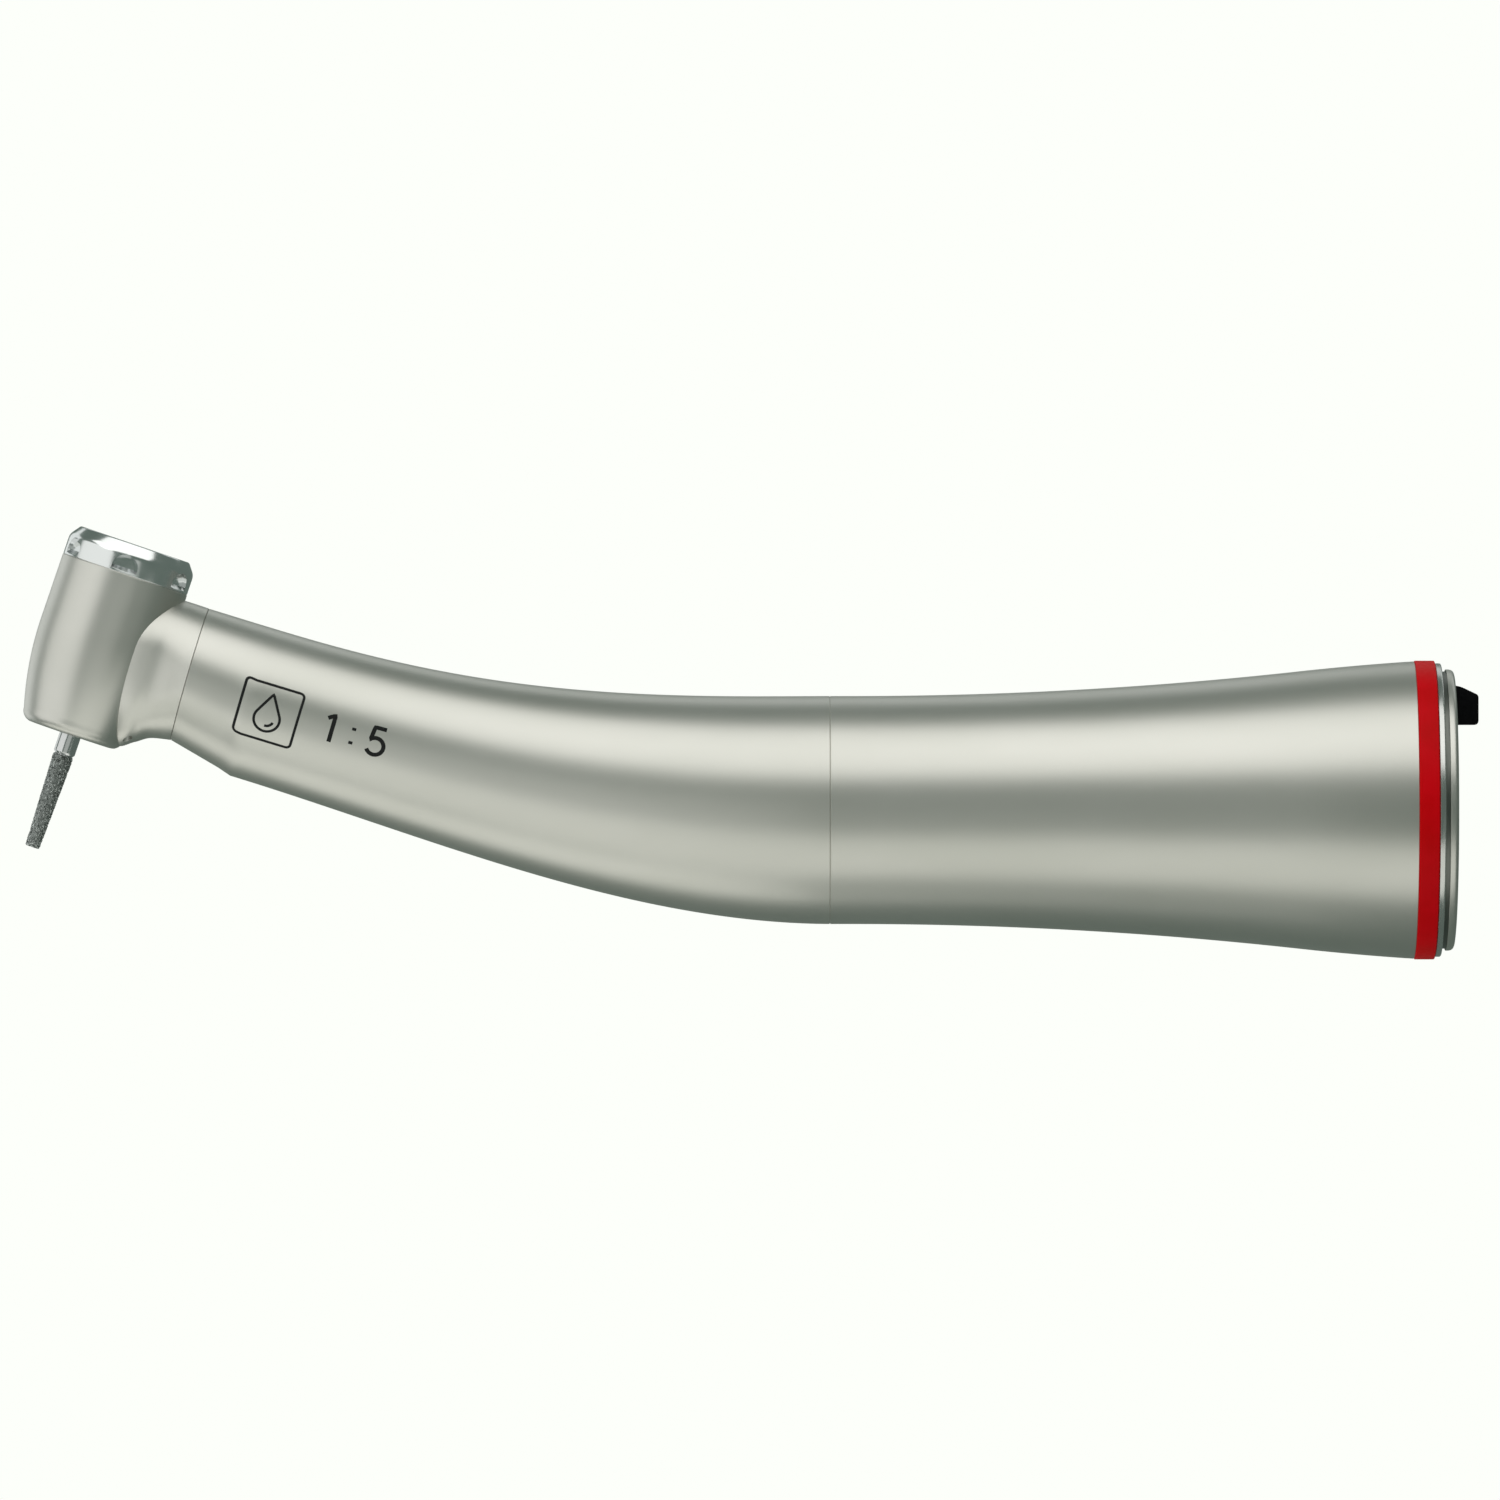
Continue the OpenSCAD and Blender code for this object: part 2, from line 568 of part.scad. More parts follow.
rear_sleeve();
ratio_ring();
rear_rim();
end_ring();
locating_key();
coupling_socket();
spray_manifold();
sleeve_o_ring();
shaft_carrier();
carrier_nut();
front_shell();
bend_bulkhead();
front_shaft_tube();
head_housing();
front_bearing_nut();
head_cap();
cap_o_ring();
preload_washer();
button_spring();
dust_seal();
light_guide();
light_window();
water_tube();
air_tube();
drive_bearing_outers();
drive_bearing_spacer();
front_bearing_outers();
head_bearing_outers();
drive_shaft();
drive_dog();
dog_pin();
ring_gear();
drive_bearing_inners();
drive_clip();
drive_bearing_balls();
drive_bearing_cages();
front_shaft();
shaft_pinion();
crown_gear();
front_bearing_inners();
front_bearing_balls();
front_bearing_cages();
spindle();
chuck_collet();
chuck_spring();
head_bearing_inners();
head_bearing_balls();
head_bearing_cages();
release_plunger();
push_button();
bur_shank();
bur_diamond_coat();
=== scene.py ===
import json
import math

import bmesh
import bpy
from mathutils import Matrix, Vector


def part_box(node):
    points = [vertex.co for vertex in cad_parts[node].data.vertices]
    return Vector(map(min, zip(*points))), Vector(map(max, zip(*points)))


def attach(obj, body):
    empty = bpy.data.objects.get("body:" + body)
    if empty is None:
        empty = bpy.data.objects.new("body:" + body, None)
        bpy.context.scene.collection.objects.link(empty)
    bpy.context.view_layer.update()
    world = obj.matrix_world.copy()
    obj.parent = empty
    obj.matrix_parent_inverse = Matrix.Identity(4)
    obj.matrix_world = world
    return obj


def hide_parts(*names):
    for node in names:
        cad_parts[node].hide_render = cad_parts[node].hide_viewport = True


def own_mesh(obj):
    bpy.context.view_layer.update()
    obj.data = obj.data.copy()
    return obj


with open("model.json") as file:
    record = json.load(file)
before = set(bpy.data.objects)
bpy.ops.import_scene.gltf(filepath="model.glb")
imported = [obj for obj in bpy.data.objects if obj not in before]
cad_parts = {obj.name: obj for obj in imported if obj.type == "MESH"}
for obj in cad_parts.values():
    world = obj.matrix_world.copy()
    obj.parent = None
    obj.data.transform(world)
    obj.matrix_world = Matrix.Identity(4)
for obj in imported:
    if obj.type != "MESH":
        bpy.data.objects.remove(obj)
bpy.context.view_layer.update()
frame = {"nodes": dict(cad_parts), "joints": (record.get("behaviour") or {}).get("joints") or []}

# ---- Camera ----
# Square to the handpiece's side and level with the middle of it, from far enough away that the
# body hardly narrows with distance.
MM = 0.001
FRAME_WIDTH = 110.4 * MM
VIEW_X = -51.78 * MM
VIEW_Z = 4.42 * MM
camera_data = bpy.data.cameras.new("side_camera")
camera_data.sensor_width = 36
camera_data.lens = 396
camera_data.clip_start = 0.05
camera_data.clip_end = 30
camera = bpy.data.objects.new("side_camera", camera_data)
camera_distance = FRAME_WIDTH * camera_data.lens / camera_data.sensor_width
camera.location = (VIEW_X, -camera_distance, VIEW_Z)
camera.rotation_euler = (math.radians(90), 0, 0)
bpy.context.scene.collection.objects.link(camera)
bpy.context.scene.camera = camera

# ---- Rear sleeve ----
# The flared grip over the motor end is one turned titanium tube, fine-blasted and then given a
# thin hard coat. It screws on to the front shell, and the line between them is a hairline with
# eased edges. Sizes here and below are in millimetres, unless they are multiplied by MM.
ROUND_STEPS = 160
EASED = 0.05
SHARP = math.radians(32)
SLEEVE_FRONT_R = 8.39
SLEEVE_WALL = 0.9
SLEEVE_STATIONS = 60
SHOULDER_X = -6.5
SHOULDER_R = 9.87
BORE_STATIONS = 6
BORE_STEP = 3.9
THREAD_R = 7.5
THREAD_END = -30
FLARE_R = 300
FLARE_START = 1.5
FLARE_END = 34.5
FLARE_END_R = 116


def smooth(piece, angle=SHARP):
    """Smooth shading, with edges sharper than the angle kept crisp."""
    piece.data.polygons.foreach_set("use_smooth", [True] * len(piece.data.polygons))
    piece.data.set_sharp_from_angle(angle=angle)
    return piece


def skin(name, rings, loop=True):
    """A closed skin through rings of points; without loop its two ends are capped."""
    count = len(rings[0])
    spans = len(rings) if loop else len(rings) - 1
    faces = []
    for i in range(spans):
        near = i * count
        far = (i + 1) % len(rings) * count
        for j in range(count):
            k = (j + 1) % count
            faces.append((near + j, near + k, far + k, far + j))
    if not loop:
        faces.append(tuple(range(count)))
        faces.append(tuple(range((len(rings) - 1) * count, len(rings) * count)))
    mesh = bpy.data.meshes.new(name)
    mesh.from_pydata([Vector(p) * MM for ring in rings for p in ring], [], faces)
    shape = bmesh.new()
    shape.from_mesh(mesh)
    bmesh.ops.recalc_face_normals(shape, faces=shape.faces)
    shape.to_mesh(mesh)
    shape.free()
    piece = bpy.data.objects.new(name, mesh)
    bpy.context.scene.collection.objects.link(piece)
    return smooth(piece)


def rounded(corners, steps=4):
    """An outline from corners (along, radius, rounding), each rounded off by that much."""
    outline = []
    for i, (along, radius, ease) in enumerate(corners):
        here = Vector((along, radius))
        if not ease:
            outline.append(tuple(here))
            continue
        before = Vector(corners[i - 1][:2])
        after = Vector(corners[(i + 1) % len(corners)][:2])
        start = here + (before - here).normalized() * ease
        end = here + (after - here).normalized() * ease
        for s in range(steps + 1):
            t = s / steps
            curve = start * (1 - t) ** 2 + here * 2 * t * (1 - t) + end * t * t
            outline.append(tuple(curve))
    return outline


def circle(radius, steps):
    """Points evenly round a circle about the origin."""
    angles = (2 * math.pi * i / steps for i in range(steps))
    return [(radius * math.cos(a), radius * math.sin(a)) for a in angles]


def turned(name, outline, place, loop=True, steps=ROUND_STEPS):
    """A turned piece: an outline (along, radius) spun about the axis of a place."""
    rings = []
    for along, radius in outline:
        rings.append([place @ Vector((x, y, along)) for x, y in circle(radius, steps)])
    return skin(name, rings, loop)


def new_finish(name, colour, metallic, roughness):
    """A material with its shader's constants set, and its tree to add detail to."""
    material = bpy.data.materials.new(name)
    material.use_nodes = True
    tree = material.node_tree
    shader = tree.nodes["Principled BSDF"]
    shader.inputs["Base Color"].default_value = (*colour, 1)
    shader.inputs["Metallic"].default_value = metallic
    shader.inputs["Roughness"].default_value = roughness
    return material, tree, shader


def speckle(tree, grain_mm, detail=2.0, stretch=(1, 1, 1)):
    """Noise with grains of about that size, fixed to the piece."""
    place = tree.nodes.new("ShaderNodeTexCoord")
    mapping = tree.nodes.new("ShaderNodeMapping")
    mapping.inputs["Scale"].default_value = stretch
    texture = tree.nodes.new("ShaderNodeTexNoise")
    texture.inputs["Scale"].default_value = 1 / (grain_mm * MM)
    texture.inputs["Detail"].default_value = detail
    tree.links.new(place.outputs["Object"], mapping.inputs["Vector"])
    tree.links.new(mapping.outputs["Vector"], texture.inputs["Vector"])
    return texture.outputs["Fac"]


def vary(tree, amount, socket, low, high):
    """Drives a number with a pattern, between two values."""
    span = tree.nodes.new("ShaderNodeMapRange")
    span.inputs["From Min"].default_value = 0.3
    span.inputs["From Max"].default_value = 0.7
    span.inputs["To Min"].default_value = low
    span.inputs["To Max"].default_value = high
    tree.links.new(amount, span.inputs["Value"])
    tree.links.new(span.outputs["Result"], socket)


def tint(tree, amount, socket, dark, light, low=0.3, high=0.7):
    """Drives a colour with a pattern, between two colours."""
    ramp = tree.nodes.new("ShaderNodeValToRGB")
    ramp.color_ramp.elements[0].position = low
    ramp.color_ramp.elements[0].color = (*dark, 1)
    ramp.color_ramp.elements[1].position = high
    ramp.color_ramp.elements[1].color = (*light, 1)
    tree.links.new(amount, ramp.inputs["Fac"])
    tree.links.new(ramp.outputs["Color"], socket)


def raise_grain(tree, amount, shader, height_mm, strength=1.0):
    """Bumps a surface with a pattern."""
    bump = tree.nodes.new("ShaderNodeBump")
    bump.inputs["Distance"].default_value = height_mm * MM
    bump.inputs["Strength"].default_value = strength
    tree.links.new(amount, bump.inputs["Height"])
    tree.links.new(bump.outputs["Normal"], shader.inputs["Normal"])


def blasted_titanium():
    """Matt, blasted and coated titanium: a fine grain and a faintly cloudy colour."""
    material, tree, shader = new_finish("blasted_titanium", (0.62, 0.61, 0.57), 1.0, 0.36)
    clouds = speckle(tree, 7, 3, (0.35, 1, 1))
    tint(tree, clouds, shader.inputs["Base Color"], (0.605, 0.6, 0.56), (0.66, 0.65, 0.615))
    grain = speckle(tree, 0.06, 2)
    vary(tree, grain, shader.inputs["Roughness"], 0.34, 0.42)
    raise_grain(tree, grain, shader, 0.0015, 0.5)
    return material


def dress(piece, material, slot, body, *nodes):
    """Gives a finished piece its material and body, and hides the nodes that it replaces; its slot
    is not used.
    """
    piece.data.materials.clear()
    piece.data.materials.append(material)
    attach(piece, body)
    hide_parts(*nodes)
    return piece


titanium = blasted_titanium()
rear_axis = Matrix.Rotation(math.radians(90), 3, "Y")
sleeve_low, sleeve_high = (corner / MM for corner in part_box("rear_sleeve"))


def sleeve_r(along):
    """The flare: straight at the front, then one long arc that eases off before the ring."""
    start = max(0, along - sleeve_low.x - FLARE_START)
    end = max(0, along - sleeve_low.x - FLARE_END)
    return SLEEVE_FRONT_R + start ** 2 / (2 * FLARE_R) - end ** 2 / (2 * FLARE_END_R)


sleeve_out = [(sleeve_low.x, SLEEVE_FRONT_R - EASED), (sleeve_low.x + EASED, SLEEVE_FRONT_R)]
for i in range(1, SLEEVE_STATIONS):
    along = sleeve_low.x + (sleeve_high.x - sleeve_low.x) * i / SLEEVE_STATIONS
    sleeve_out.append((along, sleeve_r(along)))
sleeve_out += [
    (sleeve_high.x - EASED, sleeve_r(sleeve_high.x) - 0.01),
    (sleeve_high.x, sleeve_r(sleeve_high.x) - EASED),
    (sleeve_high.x, SHOULDER_R),
    (SHOULDER_X, SHOULDER_R),
]
for i in range(BORE_STATIONS):
    along = SHOULDER_X - BORE_STEP * i
    sleeve_out.append((along, sleeve_r(along) - SLEEVE_WALL))
sleeve_out += [(THREAD_END, THREAD_R), (sleeve_low.x, THREAD_R)]
rear_sleeve = turned("rear_sleeve_skin", sleeve_out, rear_axis)
dress(rear_sleeve, titanium, "titanium_coat", "housing", "rear_sleeve")

# ---- Colour ring ----
# A red polymer band that marks the speed-increasing ratio. It is moulded, pushed on to the
# rim's shoulder and clamped by it, flush with the sleeve.
ring_low, ring_high = (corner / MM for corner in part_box("ratio_ring"))
RING_BORE_R = 10.3


def red_polymer():
    """Deep red moulded polymer with a soft, faintly uneven sheen."""
    material, tree, shader = new_finish("red_polymer", (0.62, 0.001, 0.004), 0.0, 0.45)
    shader.inputs["Specular IOR Level"].default_value = 0.06
    clouds = speckle(tree, 2.5, 2)
    tint(tree, clouds, shader.inputs["Base Color"], (0.58, 0.001, 0.003), (0.66, 0.001, 0.006))
    grain = speckle(tree, 0.3, 2)
    vary(tree, grain, shader.inputs["Roughness"], 0.4, 0.5)
    raise_grain(tree, grain, shader, 0.001, 0.15)
    return material


ring_outline = rounded([
    (ring_low.x, RING_BORE_R, 0), (ring_low.x, ring_high.z, 0.08),
    (ring_high.x, ring_high.z, 0.08), (ring_high.x, RING_BORE_R, 0),
])
ratio_ring = turned("ratio_ring_band", ring_outline, rear_axis)
dress(ratio_ring, red_polymer(), "red_ring", "housing", "ratio_ring")

# ---- Rim behind the ring ----
# A bright turned steel nut whose narrow lip shows behind the red ring. Its thread pulls the ring
# against the sleeve.
rim_low, rim_high = (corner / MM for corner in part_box("rear_rim"))
RIM_BORE_R = 9.3
RIM_SHOULDER_R = RING_BORE_R - 0.02


def turned_steel(name, colour, roughness, line_mm=0.12):
    """Steel with fine lathe lines round the body's axis and a little unevenness."""
    material, tree, shader = new_finish(name, colour, 1.0, roughness)
    lines = speckle(tree, line_mm, 2, (1, 0.04, 0.04))
    vary(tree, lines, shader.inputs["Roughness"], roughness * 0.8, roughness * 1.25)
    duller = [c * 0.94 for c in colour]
    tint(tree, speckle(tree, 3, 2), shader.inputs["Base Color"], duller, colour)
    raise_grain(tree, lines, shader, 0.002, 0.4)
    return material


bright_steel = turned_steel("bright_turned_steel", (0.64, 0.645, 0.63), 0.24)
rim_outline = rounded([
    (rim_low.x, RIM_BORE_R, 0), (rim_low.x, 9.85, 0.1), (ring_low.x, 9.85, 0),
    (ring_low.x, RIM_SHOULDER_R, 0), (ring_high.x, RIM_SHOULDER_R, 0),
    (ring_high.x, rim_high.z, 0.1), (rim_high.x, rim_high.z, 0.14), (rim_high.x, RIM_BORE_R, 0),
])
rear_rim = turned("rear_rim_lip", rim_outline, rear_axis)
dress(rear_rim, bright_steel, "bright_metal", "housing", "rear_rim")

# ---- Collar round the motor opening ----
# The end ring is turned from the same titanium. It has a narrow shallow groove in front whose
# floor is painted dark as painted shade, a rounded rear edge, a countersunk opening, and a milled
# slot at the top for the locating key.
collar_low, collar_high = (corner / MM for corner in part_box("end_ring"))
key_low, key_high = (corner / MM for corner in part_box("locating_key"))
COLLAR_ROUND = 0.45
COLLAR_WIDTH = 0.62
GROOVE_R = 10.2
OPENING_R = 6.22
KEY_PLAY = 0.03


def settle(piece):
    """Applies a piece's modifiers, by taking its evaluated mesh."""
    bpy.context.view_layer.update()
    graph = bpy.context.evaluated_depsgraph_get()
    shaped = bpy.data.meshes.new_from_object(piece.evaluated_get(graph))
    piece.modifiers.clear()
    piece.data = shaped
    return smooth(piece)


def carve(piece, *cutters, operation="DIFFERENCE"):
    """Cuts other shapes out of a piece, or joins them to it, and removes them."""
    for cutter in cutters:
        change = piece.modifiers.new(cutter.name, "BOOLEAN")
        change.operation = operation
        change.solver = "EXACT"
        change.object = cutter
    settle(piece)
    for cutter in cutters:
        bpy.data.objects.remove(cutter)
    return piece


def block(name, low, high):
    """A plain box used as a cutting tool."""
    corners = [(low[0], low[1]), (high[0], low[1]), (high[0], high[1]), (low[0], high[1])]
    return skin(name, [[(x, y, z) for x, y in corners] for z in (low[2], high[2])], loop=False)


collar_r = collar_high.z
collar_outline = rounded([
    (-2, OPENING_R, 0), (-2, 8.7, 0.1), (collar_low.x, 8.7, 0), (collar_low.x, 9.28, 0.1),
    (rim_high.x, 9.28, 0), (rim_high.x, GROOVE_R, 0), (-COLLAR_WIDTH, GROOVE_R, 0),
    (-COLLAR_WIDTH, collar_r, 0.04), (0, collar_r, COLLAR_ROUND),
    (0, OPENING_R + 0.4, 0.08), (-0.4, OPENING_R, 0.08),
], steps=6)
end_ring = turned("end_ring_collar", collar_outline, rear_axis)
key_slot = block("key_slot", (-8, key_low.y - KEY_PLAY, 5),
                 (1, key_high.y + KEY_PLAY, key_high.z + KEY_PLAY))
carve(end_ring, key_slot)
dress(end_ring, titanium, "titanium_coat", "housing", "end_ring")


def paint_groove_shade(piece, front, back, below):
    """Paints the floor of a turned groove, at that distance from the axis, with a dark material as
    painted shade.
    """
    piece.data.materials.append(turned_steel("groove_painted_shade", (0.17, 0.18, 0.165), 0.36))
    for face in piece.data.polygons:
        place = face.center / MM
        if front < place.x < back and abs(math.hypot(place.y, place.z) - below) < 0.1:
            face.material_index = 1


# The groove's floor gets a dark material: painted shade where the groove would only be in shadow.
paint_groove_shade(end_ring, rim_high.x, -COLLAR_WIDTH, GROOVE_R)

# ---- Locating key ----
# A small black moulded peg stands out of the rear face and drops into the motor's notch, so that
# light and spray line up. The light guide's polished end shows in its back.
KEY_BACK = 8.46
KEY_EDGE = 0.22
GUIDE_H = 7.24
GUIDE_R = 0.68


def black_polymer():
    """Near-black moulded polymer with a fine matt grain."""
    material, tree, shader = new_finish("black_polymer", (0.004, 0.004, 0.005), 0.0, 0.5)
    shader.inputs["Specular IOR Level"].default_value = 0.08
    grain = speckle(tree, 0.12, 3)
    vary(tree, grain, shader.inputs["Roughness"], 0.4, 0.58)
    tint(tree, grain, shader.inputs["Base Color"],
         (0.0015, 0.0015, 0.002), (0.004, 0.004, 0.005))
    raise_grain(tree, grain, shader, 0.004, 0.3)
    return material


key_side = rounded([
    (key_low.x, key_low.z, 0.1), (key_high.x, key_low.z, 0.35), (key_high.x, KEY_BACK, 0.2),
    (0.3, key_high.z, 0.5), (-4.9, key_high.z, 0.05), (-4.9, 8.5, 0), (key_low.x, 8.5, 0.1),
], steps=6)
key_rings = [[(x, y, z) for x, z in key_side] for y in (key_low.y, key_high.y)]
locating_key = skin("locating_key_peg", key_rings, loop=False)
guide_hole = turned("guide_hole", [(-9, GUIDE_R), (3, GUIDE_R)], rear_axis, loop=False, steps=48)
guide_hole.data.transform(Matrix.Translation((0, 0, GUIDE_H * MM)))
carve(locating_key, guide_hole)
edges = locating_key.modifiers.new("eased edges", "BEVEL")
edges.width = KEY_EDGE * MM
edges.segments = 4
edges.limit_method = "ANGLE"
edges.angle_limit = math.radians(50)
edges.use_clamp_overlap = True
settle(locating_key)
dress(locating_key, black_polymer(), "key_plastic", "housing", "locating_key")

# ---- Motor socket ----
# The inner sleeve takes the motor's nose: a ground bore, a ring groove for the motor's snap ring
# and a narrower step at the bottom. It is stainless steel, screwed in behind the collar.
socket_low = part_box("coupling_socket")[0] / MM
SOCKET_R = 5.6
SNAP_R = SOCKET_R + 0.2
LINER_R = 7.48
socket_outline = rounded([
    (socket_low.x, LINER_R, 0), (socket_low.x, 3.2, 0), (-28, 3.2, 0.1), (-28, 4.9, 0),
    (-22, 4.9, 0.2), (-22, SNAP_R, 0), (-21, SNAP_R, 0), (-21, SOCKET_R, 0.1),
    (0, SOCKET_R, 0.35), (0, 6.2, 0.1), (-28, 6.2, 0), (-28, LINER_R, 0),
], steps=5)
coupling_socket = turned("motor_socket_sleeve", socket_outline, rear_axis)
carve(coupling_socket, block("guide_passage", (-30, -3.9, 5.2), (-28, 3.9, 9.2)))
socket_steel = turned_steel("ground_socket_steel", (0.55, 0.555, 0.56), 0.2, 0.2)
dress(coupling_socket, socket_steel, "bright_metal", "housing", "coupling_socket")

# ---- Bent front shell ----
# The curved grip is one titanium tube, drawn to a smooth bend and a taper, with a straight nose
# whose underside slopes up to the head. It is blasted and coated with the sleeve.
SPINE = [Vector(p) for p in ((-45.9, 0), (-63.2, 0), (-78.5, 4.93), (-88.4, 7.93))]
NOSE_R = 5.65
# Stations of the nose: place on the centre line, tilt in degrees, radius.
NOSE_CORNER = (Vector((-89.4, 8.4)), 16.2, 5.49)
SHELL_JOINT = (Vector((-93, 9.99)), 16.2, 5.03)
SHELL_WALL = 0.75
SHELL_STATIONS = 56


def spine_at(t):
    """The body's centre line: its place and its tilt in degrees, at t from 0 to 1."""
    a, b, c, d = SPINE
    u = 1 - t
    place = a * u ** 3 + b * 3 * t * u ** 2 + c * 3 * t * t * u + d * t ** 3
    way = (b - a) * u ** 2 + (c - b) * 2 * t * u + (d - c) * t * t
    return place, math.degrees(math.atan2(way.y, -way.x))


def body_r(place):
    """The body's radius at a place on its centre line, from the sleeve's to the nose's."""
    share = max(0, (place.x - SPINE[0].x) / (SPINE[-1].x - SPINE[0].x))
    return NOSE_R + (SLEEVE_FRONT_R - NOSE_R) * (1 + math.cos(math.pi * share ** 0.9)) / 2


def on_body(place, tilt, radius, angle):
    """A point round the body's centre line, at an angle in degrees from the top."""
    lean, turn = math.radians(tilt), math.radians(angle)
    up = radius * math.cos(turn)
    side = radius * math.sin(turn)
    return place.x + up * math.sin(lean), side, place.y + up * math.cos(lean)


def body_ring(place, tilt, radius):
    """One section of the shell, square to its centre line."""
    return [on_body(place, tilt, radius, 360 * i / ROUND_STEPS) for i in range(ROUND_STEPS)]


def between(a, b, t):
    """A station part of the way from one to another."""
    return a[0].lerp(b[0], t), a[1] + (b[1] - a[1]) * t, a[2] + (b[2] - a[2]) * t


stations = []
for i in range(SHELL_STATIONS + 1):
    t = i / SHELL_STATIONS
    place, tilt = spine_at(t)
    stations.append((place, tilt, body_r(place)))
bend_end = stations[-1]
stations += [between(bend_end, NOSE_CORNER, 0.5), NOSE_CORNER]
stations += [between(NOSE_CORNER, SHELL_JOINT, t) for t in (0.12, 0.35, 0.6, 0.85, 0.985)]
first = stations[0]
rings = [body_ring(first[0], first[1], first[2] - EASED)]
rings.append(body_ring(first[0] - Vector((EASED, 0)), first[1], first[2]))
rings += [body_ring(*s) for s in stations[1:]]
rings.append(body_ring(SHELL_JOINT[0], SHELL_JOINT[1], SHELL_JOINT[2] - EASED))
# The inside runs back to the joint with the sleeve through every sixth station.
rings += [body_ring(s[0], s[1], s[2] - SHELL_WALL) for s in [SHELL_JOINT] + stations[-4::-6]]
front_shell = skin("front_shell_skin", rings)
dress(front_shell, titanium, "titanium_coat", "housing", "front_shell")

# ---- Head housing and neck ----
# One machined titanium part: an upright barrel for the spindle, and a neck with an arched back
# and a deep rounded underside that meets it in a crisp crease. The shell is pressed on behind.
spindle_joint = next(j for j in frame["joints"] if j["name"] == "spindle_spin")
head_up = Vector(spindle_joint["axis"])
PIVOT_H = 2
head_base = Vector(spindle_joint["pos_m"]) / MM - PIVOT_H * head_up
head_tilt = math.degrees(math.atan2(head_up.x, head_up.z))
head_turn = Matrix.Rotation(math.radians(head_tilt), 3, "Y")
head_axis = Matrix.Translation(head_base) @ head_turn.to_4x4()
BARREL_R = 4.82
FOOT_R = 3.9
FOOT_ROUND = 0.85
FOOT_STEPS = 8
BELLY_H = 6.6
BELLY_STEPS = 24
CAP_H = 12.5
SHAFT_H = 7
SEAT_R = 3.2
WINDOW_D = 4.15
PORT_Y = 1.8
HEAD_STEPS = 96
NECK_SIDES = 128
NECK_EASE = 1.2
NECK_FULLNESS = 0.2
# Sections of the neck: distance from the head's axis, half width, and the heights of its
# centre, its top and its bottom.
NECK = [
    (6.88, 5.03, 7.05, 12.08, 2.02),
    (5.6, 4.66, 7.35, 12.08, 1.65),
    (4.6, 4.4, 7.6, 12.05, 0.95),
    (3.7, 4.27, 7.65, 12.02, 0.32),
    (2.6, 4.05, 7.65, 11.95, 0.55),
    (0.5, 3.5, 7.6, 11.8, 1.1),
]


def from_head(d, y, h):
    """A point of the head: away from its axis towards the body, sideways, and up."""
    return head_axis @ Vector((d, y, h))


def smooth_between(rows, steps):
    """Rows of numbers with a smooth curve run through them."""
    fine = []
    for i in range(len(rows) - 1):
        before, after = rows[max(0, i - 1)], rows[min(len(rows) - 1, i + 2)]
        for s in range(steps):
            t = s / steps
            row = []
            for p, a, b, n in zip(before, rows[i], rows[i + 1], after):
                bend = 2 * p - 5 * a + 4 * b - n + t * (3 * (a - b) + n - p)
                row.append(a + 0.5 * t * (b - p + t * bend))
            fine.append(row)
    return fine + [list(rows[-1])]


def neck_ring(d, half_width, centre, top, bottom):
    """A section of the neck: an ellipse's arch above its centre, a fuller trough below."""
    blend = min(1, max(0, (NECK[0][0] - d) / NECK_EASE))
    power = 2 / (2 + NECK_FULLNESS * blend)
    lean = math.tan(math.radians(SHELL_JOINT[1] - head_tilt)) * (1 - blend)
    ring = []
    for up, side in circle(1, NECK_SIDES):
        if up < 0:
            up = -abs(up) ** power
            side = math.copysign(abs(side) ** power, side)
        height = up * (top - centre if up > 0 else centre - bottom)
        ring.append(from_head(d + height * lean, half_width * side, centre + height))
    return ring


def under_neck(side):
    """The place of an outlet under the neck, that far to the side of its middle."""
    return Matrix.Translation(from_head(WINDOW_D, side, 0)) @ head_turn.to_4x4()


barrel = [(0, 0.4)]
for i in range(FOOT_STEPS + 1):
    a = math.pi / 2 * i / FOOT_STEPS
    out = FOOT_R - FOOT_ROUND + FOOT_ROUND * math.sin(a)
    barrel.append((FOOT_ROUND - FOOT_ROUND * math.cos(a), out))
for i in range(1, BELLY_STEPS + 1):
    height = FOOT_ROUND + BELLY_H * i / BELLY_STEPS
    barrel.append((height, BARREL_R - (BARREL_R - FOOT_R) * (1 - i / BELLY_STEPS) ** 2))
barrel += [(10, BARREL_R), (CAP_H - 0.06, BARREL_R), (CAP_H, BARREL_R - 0.06), (CAP_H, 0.4)]
head_housing = turned("head_housing_shell", barrel, head_axis, loop=False)
neck = skin("neck", [neck_ring(*s) for s in smooth_between(NECK, 6)], loop=False)
front_axis = Matrix.Translation(from_head(0, 0, SHAFT_H)) @ (
    head_turn @ Matrix.Rotation(math.radians(90), 3, "Y")).to_4x4()
spigot = turned("spigot", [(6.5, 0.4), (6.5, 4.15), (9.4, 4.15), (9.5, 4.05), (9.5, 0.4)],
                front_axis, loop=False, steps=HEAD_STEPS)
carve(head_housing, neck, spigot, operation="UNION")
seal_groove = [(CAP_H - 0.27, 4.37), (CAP_H - 0.27, 4.65), (14, 4.65), (14, 4.37)]
spindle_bore = [(0.72, 0.3), (0.72, SEAT_R), (10.9, SEAT_R), (10.9, 4.2), (14, 4.2), (14, 0.3)]
nose_opening = [(-1, 0.3), (-1, 3.05), (0, 3.05), (0.15, 2.9), (1.5, 2.9), (1.5, 0.3)]
shaft_bore = [(0, 0.3), (0, 3.25), (4.15, 3.25), (4.15, 2.52), (12, 2.52), (12, 0.3)]
window_seat = [(-1, 0.1), (-1, 0.77), (1.52, 0.77), (1.52, 0.1)]
spray_port = [(-1, 0.05), (-1, 0.3), (1.6, 0.3), (1.6, 0.05)]
